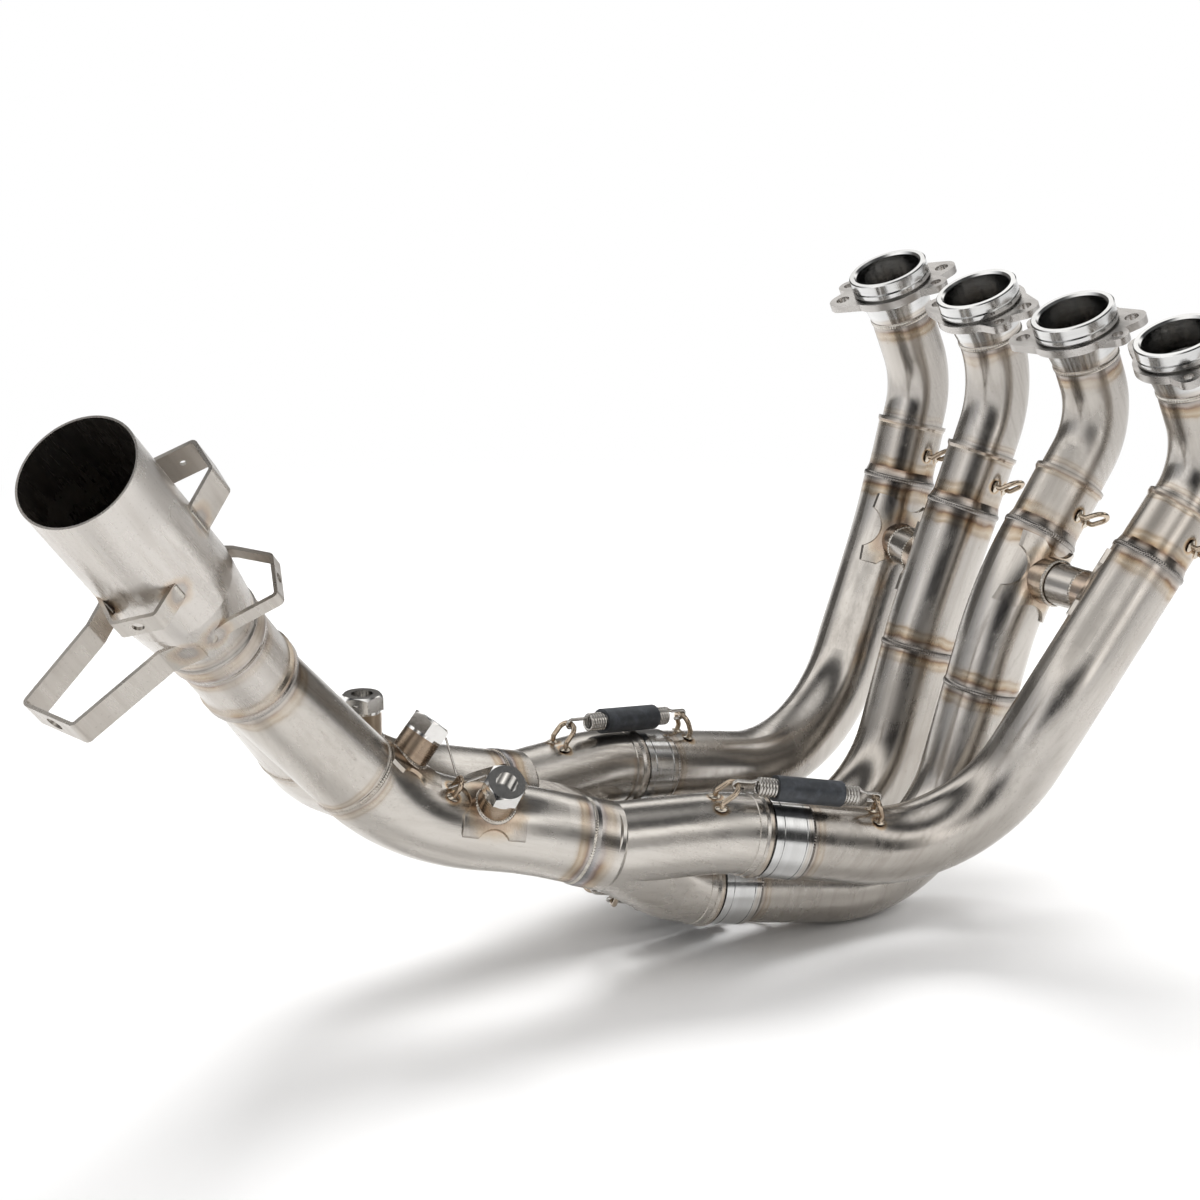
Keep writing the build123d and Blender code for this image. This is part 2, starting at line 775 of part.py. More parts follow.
def sensor_plug(sensor):
    """Hexagon plug with a round recess, a collar, a shank and a lock wire hole."""
    across_corners = PLUG_FLATS / math.cos(math.radians(30))
    head = extrude(RegularPolygon(across_corners / 2, 6), PLUG_HEAD)
    cap = Cone(across_corners / 2 + PLUG_HEAD, PLUG_FLATS / 2 - 0.4, PLUG_HEAD)
    head = head & Pos(0, 0, PLUG_HEAD / 2) * cap
    collar = Cylinder(PLUG_FLATS / 2, PLUG_COLLAR, align=(Align.CENTER, Align.CENTER, Align.MIN))
    shank = Cylinder(PLUG_SHANK_OD / 2, PLUG_SHANK, align=(Align.CENTER, Align.CENTER, Align.MAX))
    recess = Cylinder(
        PLUG_RECESS_OD / 2, PLUG_RECESS_DEPTH, align=(Align.CENTER, Align.CENTER, Align.MAX)
    )
    hole_height = PLUG_COLLAR + PLUG_HEAD / 2
    hole_place = (across_corners / 2 - PLUG_WIRE_INSET) * sensor.hole_side
    hole = Pos(hole_place, 0, hole_height) * Rot(90, 0, 0) * Cylinder(PLUG_WIRE_HOLE / 2, PLUG_FLATS)
    plug = collar + Pos(0, 0, PLUG_COLLAR) * head + shank
    plug -= Pos(0, 0, PLUG_COLLAR + PLUG_HEAD) * recess
    plug -= hole
    return sensor_plane(sensor) * Pos(0, 0, boss_top()) * plug


def sensor_pad(sensor):
    """Scalloped reinforcing pad round a boss."""
    base = sensor_plane(sensor)
    plate = base * extrude(scalloped(PAD_SIZE, PAD_SIZE, PAD_BITE), SECONDARY_OD)
    plate = plate & second_skin(sensor.bank, SADDLE_THICKNESS)
    bore = Cylinder(BOSS_OD / 2, SECONDARY_OD, align=(Align.CENTER, Align.CENTER, Align.MIN))
    return plate - second_skin(sensor.bank) - base * bore


def hook_path(base, width, lean, height):
    """An open loop of wire that leaves a tube, leans along it and comes back."""
    half = width / 2
    foot = -HOOK_WIRE
    knee = height * 0.3
    points = [
        (0, -half, foot),
        (0, -half, knee),
        (lean, -half, height),
        (lean, half, height),
        (0, half, knee),
        (0, half, foot),
    ]
    corner = half * 0.96
    bend = min(2.5, height * 0.2)
    world = [base.from_local_coords(Vector(*point)) for point in points]
    return FilletPolyline(*world, radius=[bend, corner, corner, bend])


def welded_hook(base, skin, width=HOOK_WIDTH, lean=HOOK_LEAN, height=HOOK_HEIGHT):
    """One wire hook, its feet trimmed to the tube that carries it."""
    path = hook_path(base, width, lean, height)
    return rod(path, HOOK_WIRE / 2) - skin


def surface_plane(centre, along, out, radius):
    """A plane on a tube's surface, its normal pointing away from the centre line."""
    return Plane(origin=centre + out * radius, x_dir=along, z_dir=out)


def upper_hooks():
    """A hook under the mouth of each upper slip socket, leaning up to the port."""
    hooks = []
    for pipe in PIPES:
        lip = lip_point(pipe)
        along = (lip - slope_point(pipe)).normalized()
        front = across(along, Vector(1, 0, 0))
        right = across(along, Vector(0, -1, 0))
        out = (right * 0.95 + front * 0.31).normalized()
        centre = lip - along * SOCKET_LENGTH * 0.5
        outer = INLET_OD / 2 + SLIP_CLEARANCE + SOCKET_WALL
        base = surface_plane(centre, along, out, outer)
        skin = bar(lip, socket_end(pipe), 2 * outer)
        hooks.append(welded_hook(base, skin))
    return hooks


@dataclass(frozen=True)
class Strap:
    """Bent strap across the outlet, its corners given as side and rise from the axis."""

    name: str
    angle: float
    depth: float
    width: float
    corners: tuple
    hole_run: int
    hole: float


STRAPS = (
    Strap("top", 60.0, 54.0, 20.0, ((-22, 20), (-11, 30), (-2, 49.5), (19, 53), (27, 33), (27, 10)), 3, 3.5),
    Strap("side", 15.0, 110.0, 8.0, ((28, 6), (26, 22), (19, 44.5), (-4, 51), (-16, 27), (-21, 20)), 2, 5.0),
    Strap("hanger", -120.0, 107.0, 17.0,
          ((27, 10), (19, 27), (17, 80), (-15, 91), (-25, 43), (-33, 26), (-27, 4)), 2, 9.0),
    Strap("low", -68.0, 65.5, 12.0, ((-23, 18), (-12.5, 39.5), (9.5, 39.5), (21, 20)), 1, 6.0),
)


def outlet_skin():
    """The solid form of the outlet, to trim what is welded to it."""
    outer = OUTLET_OD / 2
    cone_start = OUTLET_STRAIGHT + OUTLET_CONE
    profile = [(0, 0), (outer, 0), (outer, -OUTLET_STRAIGHT), (COLLAR_OD / 2, -cone_start), (0, -cone_start)]
    return turned(Plane(origin=place(*MOUTH), z_dir=outlet_axis()), profile)


def outlet_strap(strap):
    """One bent strap with a hole in one of its runs, trimmed to the outlet."""
    heading = math.radians(OUTLET_HEADING)
    level = Vector(math.sin(heading), -math.cos(heading), 0)
    turn = math.radians(strap.angle)
    up = outlet_axis().cross(level)
    side = up * math.cos(turn) - level * math.sin(turn)
    base = Plane(origin=outlet_point(strap.depth), x_dir=side, z_dir=-outlet_axis())
    bends = [STRAP_BEND] * (len(strap.corners) - 2)
    band = extrude(trace(FilletPolyline(*strap.corners, radius=bends), STRAP_THICKNESS), strap.width)
    start = Vector(*strap.corners[strap.hole_run])
    end = Vector(*strap.corners[strap.hole_run + 1])
    middle = (start + end) / 2 + Vector(0, 0, strap.width / 2)
    drill = Plane(origin=middle, z_dir=(end - start).cross(Vector(0, 0, 1)))
    band -= drill * Cylinder(strap.hole / 2, STRAP_THICKNESS * 3)
    return base * band - outlet_skin()


@dataclass(frozen=True)
class Spring:
    """Place of one spring at a lower slip joint."""

    name: str
    pipe: Pipe
    start: float
    angle: float
    stand_off: float


SPRINGS = (
    Spring("left_upper", PIPES[0], -50.0, 101.0, UPPER_STAND_OFF),
    Spring("left_lower", PIPES[1], -31.0, -138.0, LOWER_STAND_OFF),
    Spring("right_lower", PIPES[2], -31.0, -42.0, LOWER_STAND_OFF),
    Spring("right_upper", PIPES[3], -22.0, 112.0, UPPER_STAND_OFF),
)


def run_frame(spring, distance):
    """The centre, direction and outward unit of the joint's tubes, a distance in front of it."""
    pipe = spring.pipe
    joint = joint_point(pipe)
    straight = (belly_point(pipe) - joint).normalized()
    out = around(straight, spring.angle)
    if distance > SLIP_RING_LENGTH:
        path = header_path(pipe)
        station = 1 - (distance - SLIP_RING_LENGTH) / path.length
        centre = path @ station
        along = path % station * -1
    else:
        path = leg_path(pipe)
        station = max(-distance, 0.0) / path.length
        centre = path @ station
        along = path % station * -1
    return centre, along, across(along, out)


def spring_ends(spring):
    """The two eyes that a spring is stretched between."""
    ends = []
    for distance in (spring.start, spring.start + SPRING_REACH):
        centre, along, out = run_frame(spring, distance)
        ends.append(centre + out * (SLIP_RING_OD / 2 + spring.stand_off))
    return ends


def spring_hooks():
    """The two welded hooks that hold each spring."""
    hooks = []
    for spring in SPRINGS:
        ends = spring_ends(spring)
        for index, sign in ((0, -1), (1, 1)):
            distance = spring.start + index * SPRING_REACH
            foot = distance + sign * HOOK_LEAN
            centre, along, out = run_frame(spring, foot)
            outer = (LEG_OD if index == 0 else HEADER_OD) / 2
            base = surface_plane(centre, along * -sign, out, outer)
            eye = base.to_local_coords(ends[index])
            if index == 0:
                skin = rod(leg_path(spring.pipe), outer)
            else:
                skin = header_skin(spring.pipe)
            hooks.append(welded_hook(base, skin, HOOK_WIDTH, eye.X, eye.Z))
    return hooks


def spring_coil(spring):
    """Close wound extension spring with a loop at each end."""
    start, end = spring_ends(spring)
    axis = (end - start).normalized()
    centre, _, _ = run_frame(spring, spring.start)
    base = Plane(origin=start, x_dir=across(axis, start - centre), z_dir=axis)
    slack = ((end - start).length - SPRING_COIL_LENGTH) / 2
    wire = SPRING_WIRE / 2
    outer = SPRING_OD / 2
    turns = int(SPRING_COIL_LENGTH / SPRING_WIRE)
    pitch = SPRING_COIL_LENGTH / turns
    bumps = []
    for turn in range(turns):
        low = slack + turn * pitch
        bumps.append(ThreePointArc((outer - wire, 0, low), (outer, 0, low + pitch / 2),
                                   (outer - wire, 0, low + pitch)))
    top = slack + SPRING_COIL_LENGTH
    inner = outer - SPRING_WIRE
    closing = Polyline((outer - wire, 0, top), (inner, 0, top), (inner, 0, slack), (outer - wire, 0, slack))
    coil = revolve(make_face(bumps + closing.edges()), Axis.Z)
    loops = []
    for flip in (1, -1):
        root = slack if flip == 1 else top
        eye = 0.0 if flip == 1 else (end - start).length
        reach = HOOK_WIRE / 2 + wire + HOOK_PLAY
        points = [
            (outer - wire, 0, root + flip * wire),
            (reach, 0, root - flip * wire * 2),
            (reach, 0, eye - flip * reach),
            (-reach, 0, eye - flip * reach),
            (-reach, 0, eye + flip * reach),
        ]
        path = FilletPolyline(*points, radius=[wire, reach * 0.8, reach * 0.8])
        loops.append(rod(path, wire * 0.98))
    return base * (coil + loops[0] + loops[1])


def spring_sleeve(spring):
    """Rubber sleeve over the middle of a spring."""
    start, end = spring_ends(spring)
    middle = (start + end) / 2
    axis = (end - start).normalized()
    first = middle - axis * SLEEVE_LENGTH / 2
    last = middle + axis * SLEEVE_LENGTH / 2
    return bar(first, last, SLEEVE_OD) - bar(first, last, SPRING_OD)


@dataclass(frozen=True)
class Eye:
    """Place of a small wire eye on a second pipe."""

    bank: str
    before_ring: float
    angle: float
    turn: float


EYES = {"left": Eye("left", 37.0, 62.0, -45.0), "right": Eye("right", 58.0, 125.0, 0.0)}


def eye_plane(eye):
    """The plane on a second pipe's surface that carries a wire eye."""
    path = second_path(eye.bank)
    station = 1 - eye.before_ring / path.length
    centre = path @ station
    along = path % station
    base = surface_plane(centre, along, around(along, eye.angle), SECONDARY_OD / 2)
    return base.rotated((0, 0, eye.turn))


def wire_eyes():
    """The small eyes that the lock wires are tied to."""
    return [
        welded_hook(eye_plane(eye), second_skin(eye.bank), EYE_WIDTH, 0.5, EYE_HEIGHT)
        for eye in EYES.values()
    ]


@dataclass(frozen=True)
class Lock:
    """One lock wire, from a plug to an eye, its end past or short of the eye's middle."""

    plug: str
    eye: str
    shift: float
    height: float
    past: float


LOCKS = (
    Lock("left", "left", 0.0, 6.6, 6.0),
    Lock("merge", "right", 0.0, 6.6, -5.4),
    Lock("right", "right", 0.0, 6.2, 6.0),
)


def lock_wire(lock):
    """Twisted wire from the hole in a plug's head through a welded eye."""
    sensor = [sensor for sensor in SENSORS if sensor.name == lock.plug][0]
    plug = sensor_plane(sensor)
    corner = (PLUG_FLATS / 2 / math.cos(math.radians(30)) - PLUG_WIRE_INSET) * sensor.hole_side
    height = boss_top() + PLUG_COLLAR + PLUG_HEAD / 2
    through = eye_plane(EYES[lock.eye]).from_local_coords(Vector(0, lock.shift, lock.height))
    first = plug.from_local_coords(Vector(corner, LOCK_WIRE_TAIL, height))
    last = plug.from_local_coords(Vector(corner, -LOCK_WIRE_TAIL, height))
    if (first - through).length < (last - through).length:
        first, last = last, first
    end = through + (through - last).normalized() * lock.past
    path = FilletPolyline(first, last, end, radius=[LOCK_WIRE_OD])
    return rod(path, LOCK_WIRE_OD / 2)


def main():
    nodes = {}
    for pipe in PIPES:
        nodes[f"port_spigot_{pipe.number}"] = port_spigot(pipe)
        nodes[f"port_flange_{pipe.number}"] = port_flange(pipe)
        nodes[f"inlet_bend_{pipe.number}"] = inlet_bend(pipe)
        nodes[f"upper_socket_{pipe.number}"] = upper_socket(pipe)
        nodes.update(header_tubes(pipe))
        nodes[f"slip_ring_{pipe.number}"] = slip_ring(pipe)
    for bank in BANKS:
        nodes[f"bank_collector_{bank}"] = bank_collector(bank)
        nodes[f"second_tube_{bank}"] = second_tube(bank)
        nodes[f"balance_tube_{bank}"] = balance_tube(bank)
        nodes[f"balance_sleeve_{bank}"] = balance_sleeve(bank)
    nodes["merge_collector"] = merge_collector()
    nodes["collector_neck"] = collector_neck()
    nodes["outlet_pipe"] = outlet_pipe()
    saddles = [saddle(bank, index) for bank in BANKS for index in (0, 1)]
    nodes["balance_saddles"] = Compound(children=saddles)
    for sensor in SENSORS:
        nodes[f"sensor_boss_{sensor.name}"] = sensor_boss(sensor)
        nodes[f"sensor_plug_{sensor.name}"] = sensor_plug(sensor)
    nodes["sensor_pads"] = Compound(children=[sensor_pad(sensor) for sensor in SENSORS])
    for spring in SPRINGS:
        nodes[f"spring_{spring.name}"] = spring_coil(spring)
        nodes[f"spring_sleeve_{spring.name}"] = spring_sleeve(spring)
    for strap in STRAPS:
        nodes[f"outlet_strap_{strap.name}"] = outlet_strap(strap)
    nodes["lock_wires"] = Compound(children=[lock_wire(lock) for lock in LOCKS])
    nodes["welded_hooks"] = Compound(children=upper_hooks() + spring_hooks())
    nodes["wire_eyes"] = Compound(children=wire_eyes())
    os.makedirs("parts", exist_ok=True)
    for name, shape in nodes.items():
        export_step(shape, f"parts/{name}.step")


if __name__ == "__main__":
    main()
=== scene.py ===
"""Looks of a four into two into one titanium exhaust header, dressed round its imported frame."""

import logging
import math
from dataclasses import dataclass
from enum import Enum
from typing import Dict, List, Optional, Sequence, Tuple

import bmesh
import bpy
from mathutils import Matrix, Vector

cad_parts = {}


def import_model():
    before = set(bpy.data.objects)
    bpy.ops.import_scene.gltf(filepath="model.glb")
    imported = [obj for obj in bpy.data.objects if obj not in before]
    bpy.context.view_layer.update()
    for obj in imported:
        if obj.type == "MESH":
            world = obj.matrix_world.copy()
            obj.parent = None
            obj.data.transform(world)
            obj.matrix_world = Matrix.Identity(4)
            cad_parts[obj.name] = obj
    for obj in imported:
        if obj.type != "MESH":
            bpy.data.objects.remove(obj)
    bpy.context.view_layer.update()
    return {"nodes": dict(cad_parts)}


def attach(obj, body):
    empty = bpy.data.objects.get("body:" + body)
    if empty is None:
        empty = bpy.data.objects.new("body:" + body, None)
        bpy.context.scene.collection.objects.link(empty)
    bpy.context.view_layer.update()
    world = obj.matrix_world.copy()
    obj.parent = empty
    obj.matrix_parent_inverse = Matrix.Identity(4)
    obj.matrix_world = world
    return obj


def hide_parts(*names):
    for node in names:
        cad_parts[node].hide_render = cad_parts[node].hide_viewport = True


Colour = Tuple[float, float, float]
Triple = Tuple[float, float, float]
Pair = Tuple[float, float]
Stops = Tuple[Tuple[float, Colour], ...]
Rows = List[List[bmesh.types.BMVert]]
Mesh = bmesh.types.BMesh
Material = bpy.types.Material
Socket = bpy.types.NodeSocket

LOG = logging.getLogger("exhaust_header")
MM = 0.001
HEADER_BODY = "header"
UP = (0.0, 0.0, 1.0)
ACROSS = Vector((0.0, 1.0, 0.0))
CAMERA_RIGHT = (0.846, -0.533, 0.0)
CAMERA_AHEAD = (0.533, 0.846, 0.0)
WHITE = (1.0, 1.0, 1.0, 1.0)
RIPPLE_STEPS = 4
RIPPLE_SHIFT = 0.12
VALUE_OPERATIONS = ("DOT_PRODUCT", "LENGTH")

# Mild heat colours: the near black first stops are a painted shadow line in the groove beside the bead, and the later
# stops are heat colours.
MILD_HEAT_AND_SHADE_STOPS: Stops = (
    (0.0, (0.10, 0.09, 0.08)), (0.10, (0.30, 0.27, 0.24)), (0.20, (0.44, 0.38, 0.32)), (0.30, (0.20, 0.12, 0.07)),
    (0.37, (0.38, 0.28, 0.18)), (0.52, (0.50, 0.43, 0.34)), (0.66, (0.32, 0.24, 0.16)), (0.76, (0.47, 0.41, 0.35)),
    (1.0, (0.50, 0.47, 0.43)))
HOT_STOPS: Stops = (
    (0.0, (0.20, 0.20, 0.22)), (0.12, (0.13, 0.16, 0.23)), (0.24, (0.18, 0.14, 0.18)), (0.36, (0.22, 0.13, 0.07)),
    (0.55, (0.41, 0.29, 0.17)), (0.78, (0.48, 0.41, 0.33)), (1.0, (0.50, 0.47, 0.43)))
SPOT_STOPS: Stops = (
    (0.0, (0.42, 0.40, 0.38)), (0.35, (0.16, 0.13, 0.12)), (0.5, (0.35, 0.22, 0.13)), (0.72, (0.55, 0.42, 0.27)),
    (1.0, (0.60, 0.57, 0.53)))
FRONT_STOPS: Stops = (
    (0.0, (0.45, 0.46, 0.48)), (0.11, (1.45, 1.46, 1.48)), (0.20, (0.60, 0.60, 0.61)), (0.29, (0.015, 0.015, 0.02)),
    (0.50, (0.02, 0.02, 0.02)), (0.60, (0.55, 0.54, 0.53)), (0.70, (2.10, 2.07, 2.03)), (0.79, (0.70, 0.69, 0.68)),
    (0.88, (0.02, 0.02, 0.02)), (1.0, (0.08, 0.08, 0.08)))
HEIGHT_STOPS: Stops = (
    (0.0, (0.30, 0.30, 0.31)), (0.34, (0.25, 0.25, 0.25)), (0.50, (1.55, 1.54, 1.52)), (0.66, (1.45, 1.44, 1.42)),
    (0.76, (0.06, 0.06, 0.065)), (0.90, (0.10, 0.10, 0.10)), (1.0, (1.30, 1.30, 1.30)))


@dataclass(frozen=True)
class Cloud:
    """Scale, octaves and fine share of a noise."""

    scale: float
    detail: float = 3.0
    roughness: float = 0.55


BAND_WAVER, BAND_PATCHES, SPOT_WAVER = Cloud(48.0), Cloud(32.0, 2.0), Cloud(110.0)
GRAIN, STREAKS, SPECKS = Cloud(1100.0, 4.0, 0.7), Cloud(240.0, 3.0, 0.6), Cloud(700.0, 2.0, 0.5)
DULL_MARKS, WARM_PATCHES = Cloud(26.0, 4.0, 0.6), Cloud(9.0, 2.0, 0.5)
RUBBER_BLOOM, RUBBER_GRAIN = Cloud(160.0, 4.0, 0.6), Cloud(1500.0, 2.0, 0.6)
BAND_REACH = 0.052
SPECK_COLOUR = (0.25, 0.22, 0.19, 1.0)


class Bank(Enum):
    """Side of the header that a pipe or tube belongs to."""

    LEFT = "left"
    RIGHT = "right"

    @property
    def sign(self) -> float:
        """Gives the bank's sideways sign.

        Returns:
            One to the rider's left, minus one to the right.
        """
        return 1.0 if self is Bank.LEFT else -1.0


@dataclass(frozen=True)
class Halo:
    """Reach of a weld's heat colours in millimetres, their strength and how hot they are."""

    reach: float
    strength: float
    heat: float = 0.0


@dataclass(frozen=True)
class Tint:
    """One heated place: a band across an axis, or a round spot where there is none."""

    centre: Vector
    axis: Optional[Vector]
    halo: Halo


@dataclass(frozen=True)
class Ring:
    """A place on a tube where something runs round it, in metres."""

    centre: Vector
    axis: Vector
    radius: float

    def tint(self, halo: Halo) -> Tint:
        """Gives the heat colours of a weld on this ring.

        Args:
            halo: how far they reach.

        Returns:
            The tint.
        """
        return Tint(self.centre, self.axis, halo)


def ring_on(start: Vector, way: Vector, run: float, radius: float) -> Ring:
    """Gives a ring on a straight run.

    Args:
        start: where the run starts, in metres.
        way: where it points.
        run: millimetres from the start.
        radius: the ring's radius in millimetres.

    Returns:
        The ring.
    """
    axis = way.normalized()
    return Ring(start + axis * run * MM, axis, radius * MM)


@dataclass(frozen=True)
class PipeRings:
    """Welds, lip and slip joint of one header pipe."""

    spigot: Ring
    lip: Ring
    socket: Ring
    third: Ring
    last: Ring
    joint: Ring


@dataclass(frozen=True)
class PipeRoute:
    """Corners of one header pipe in millimetres from the middle of the port row."""

    number: int
    side: float
    bend: float
    slope: Triple
    belly: Triple
    upper: bool

    @property
    def bank(self) -> Bank:
        """Gives the pipe's bank.

        Returns:
            The bank that the pipe runs to.
        """
        return Bank.LEFT if self.side > 0 else Bank.RIGHT


ROUTES: Tuple[PipeRoute, ...] = (
    PipeRoute(1, 1.5, 80.0, (4, -3, 168), (-74, -32, 308), True),
    PipeRoute(2, 0.5, 66.4, (-32, 0, 206), (-77, -6, 336), False),
    PipeRoute(3, -0.5, 72.7, (-40, 0, 164), (-91, 6, 340), False),
    PipeRoute(4, -1.5, 83.0, (-65, 8, 204), (-104, 44, 302), True),
)


@dataclass(frozen=True)
class SecondRoute:
    """Two corners of a second tube in millimetres, and how far past the last one it meets the merge."""

    bank: Bank
    knee: Triple
    last_knee: Triple
    run: float


SECOND_ROUTES: Tuple[SecondRoute, ...] = (
    SecondRoute(Bank.LEFT, (-390.0, 46.0, -245.0), (-457.0, 26.0, -219.0), 45.0),
    SecondRoute(Bank.RIGHT, (-371.0, -42.0, -248.0), (-434.0, -22.0, -237.0), 48.0),
)


@dataclass(frozen=True)
class HeaderLayout:
    """The header's sizes in millimetres, and the places of its rings and welds in metres."""

    port_row_x: float = 310.0
    port_height: float = 348.3
    port_pitch: float = 88.0
    port_tilt: float = 22.6
    spigot_length: float = 33.0
    inlet_radius: float = 19.5
    header_radius: float = 22.25
    leg_radius: float = 22.8
    second_radius: float = 24.0
    neck_radius: float = 25.5
    outlet_radius: float = 31.3
    half_bead: float = 1.2
    lip_drop: float = 101.0
    socket_length: float = 39.0
    third_weld_drop: float = 220.0
    knee_upper: Triple = (-258.0, 65.0, -264.6)
    knee_lower: Triple = (-268.0, 33.4, -303.0)
    knee_upper_joint: float = 22.0
    knee_lower_joint: float = 20.0
    slip_ring_length: float = 25.0
    bank_outlet: Triple = (-328.0, 50.0, -263.0)
    bank_ring_length: float = 14.0
    mouth: Triple = (-641.8, -100.0, -4.0)
    outlet_heading: float = 29.7
    outlet_climb: float = 45.4
    neck_start: float = 188.0
    collar_end: float = 150.0
    cone_end: float = 136.0
    cone_start: float = 100.0

    def place(self, forward: float, side: float, rise: float) -> Vector:
        """Gives a point of the frame.

        Args:
            forward: millimetres forward of the port row.
            side: millimetres to the rider's left of the middle.
            rise: millimetres above the port row.

        Returns:
            The point in metres.
        """
        return Vector((self.port_row_x + forward, side, self.port_height + rise)) * MM

    def at_drop(self, start: Vector, end: Vector, drop: float) -> Vector:
        """Finds where a run lies a given drop below the port row.

        Args:
            start: the run's start.
            end: the run's end.
            drop: millimetres below the port row.

        Returns:
            The point.
        """
        height = (self.port_height - drop) * MM
        return start + (end - start) * ((height - start.z) / (end.z - start.z))

    def pipe(self, route: PipeRoute) -> PipeRings:
        """Gives the rings of one header pipe.

        Args:
            route: the pipe.

        Returns:
            Its rings.
        """
        row = route.side * self.port_pitch
        tilt = math.radians(self.port_tilt)
        up = Vector((-math.sin(tilt), 0.0, math.cos(tilt)))
        rim = self.place(0.0, row, 0.0)
        bend = rim - up * route.bend * MM
        slope, belly = (self.place(forward, row + side, -drop) for forward, side, drop in (route.slope, route.belly))
        forward, side, rise = self.knee_upper if route.upper else self.knee_lower
        knee = self.place(forward, side * route.bank.sign, rise)
        joint = self.knee_upper_joint if route.upper else self.knee_lower_joint
        lip, third = self.at_drop(bend, slope, self.lip_drop), self.at_drop(slope, belly, self.third_weld_drop)
        return PipeRings(
            spigot=ring_on(rim, up, self.half_bead - self.spigot_length, self.inlet_radius),
            lip=ring_on(lip, slope - bend, 0.0, self.inlet_radius),
            socket=ring_on(lip, slope - bend, self.socket_length - self.half_bead, self.header_radius),
            third=ring_on(third, belly - slope, self.half_bead, self.header_radius),
            last=ring_on(knee, belly - knee, joint + self.slip_ring_length, self.header_radius),
            joint=ring_on(knee, belly - knee, joint, self.leg_radius))

    def second(self, route: SecondRoute) -> Tuple[Ring, Ring]:
        """Gives the rings of one second tube.

        Args:
            route: the second tube.

        Returns:
            The welds behind the bank collector's ring and before the merge collector.
        """
        forward, side, rise = self.bank_outlet
        outlet = self.place(forward, side * route.bank.sign, rise)
        last = self.place(*route.last_knee)
        neck = self.outlet_ring(self.neck_start, 0.0).centre
        return (ring_on(outlet, self.place(*route.knee) - outlet, self.bank_ring_length, self.second_radius),
                ring_on(last, neck - last, route.run - self.half_bead, self.second_radius))

    def outlet_axis(self) -> Vector:
        """Gives the outlet's direction.

        Returns:
            The unit that points out of the outlet.
        """
        heading, climb = math.radians(self.outlet_heading), math.radians(self.outlet_climb)
        level = math.cos(climb)
        return Vector((-level * math.cos(heading), -level * math.sin(heading), math.sin(climb)))

    def outlet_ring(self, depth: float, radius: float) -> Ring:
        """Gives a ring round the outlet's axis.

        Args:
            depth: millimetres in from the mouth.
            radius: the ring's radius in millimetres.

        Returns:
            The ring.
        """
        return ring_on(self.place(*self.mouth), self.outlet_axis(), -depth, radius)


@dataclass(frozen=True)
class NodeTree:
    """Adds and joins shader nodes in a material's, world's or group's tree."""

    tree: bpy.types.NodeTree

    def add(self, kind: str, inputs: Optional[Dict[object, object]] = None, **settings: object) -> bpy.types.Node:
        """Adds one node.

        Args:
            kind: the node's type name.
            inputs: input name or index to a value or an output socket.
            **settings: properties of the node.

        Returns:
            The new node.
        """
        node = self.tree.nodes.new(kind)
        for name, value in settings.items():
            setattr(node, name, value)
        self.fill(node, inputs or {})
        return node

    def fill(self, node: bpy.types.Node, inputs: Dict[object, object]) -> None:
        """Sets or links a node's inputs.

        Args:
            node: the node.
            inputs: input name or index to a value or an output socket.
        """
        for key, value in inputs.items():
            if isinstance(value, Socket):
                self.tree.links.new(value, node.inputs[key])
            else:
                node.inputs[key].default_value = value

    def math(self, operation: str, first: object, second: object = 0.0, clamp: bool = False) -> Socket:
        """Adds a maths node.

        Args:
            operation: the node's operation.
            first: its first value.
            second: its second value.
            clamp: whether the result is kept between nought and one.

        Returns:
            The result.
        """
        return self.add("ShaderNodeMath", {0: first, 1: second}, operation=operation, use_clamp=clamp).outputs[0]

    def swing(self, value: object, reach: float) -> Socket:
        """Scales a value's distance from one half.

        Args:
            value: the value.
            reach: the scale.

        Returns:
            The scaled distance.
        """
        return self.math("MULTIPLY", self.math("SUBTRACT", value, 0.5), reach)

    def vector(self, operation: str, first: object, second: object = None) -> Socket:
        """Adds a vector maths node.

        Args:
            operation: the node's operation.
            first: its first vector.
            second: its second vector, or the scale.

        Returns:
            The resulting vector or value.
        """
        inputs = {0: first}
        if second is not None:
            inputs["Scale" if operation == "SCALE" else 1] = second
        node = self.add("ShaderNodeVectorMath", inputs, operation=operation)
        return node.outputs["Value" if operation in VALUE_OPERATIONS else "Vector"]

    def mix(self, factor: object, first: object, second: object) -> Socket:
        """Mixes two colours.

        Args:
            factor: the second colour's share.
            first: the first colour.
            second: the second colour.

        Returns:
            The mixed colour.
        """
        inputs = {0: factor, 6: first, 7: second}
        return self.add("ShaderNodeMix", inputs, data_type="RGBA", clamp_factor=True).outputs[2]

    def noise(self, where: object, cloud: Cloud) -> Socket:
        """Adds a noise texture.

        Args:
            where: the coordinates.
            cloud: how fine and how rough it is.

        Returns:
            Its value.
        """
        inputs = {"Vector": where, "Scale": cloud.scale, "Detail": cloud.detail, "Roughness": cloud.roughness}
        return self.add("ShaderNodeTexNoise", inputs).outputs["Fac"]

    def ramp(self, value: object, stops: Stops) -> Socket:
        """Adds a colour ramp.

        Args:
            value: the value that is looked up.
            stops: the ramp's places and colours.

        Returns:
            The colour.
        """
        node = self.add("ShaderNodeValToRGB", {0: value})
        elements = node.color_ramp.elements
        while len(elements) < len(stops):
            elements.new(0.5)
        for element, (place, colour) in zip(elements, stops):
            element.position = place
            element.color = (*colour, 1.0)
        return node.outputs["Color"]

    def spread(self, value: object, low: float, high: float) -> Socket:
        """Maps a range to nought and one, with soft ends.

        Args:
            value: the value.
            low: what becomes nought.
            high: what becomes one.

        Returns:
            The mapped value.
        """
        inputs = {"Value": value, "From Min": low, "From Max": high}
        return self.add("ShaderNodeMapRange", inputs, interpolation_type="SMOOTHSTEP").outputs[0]


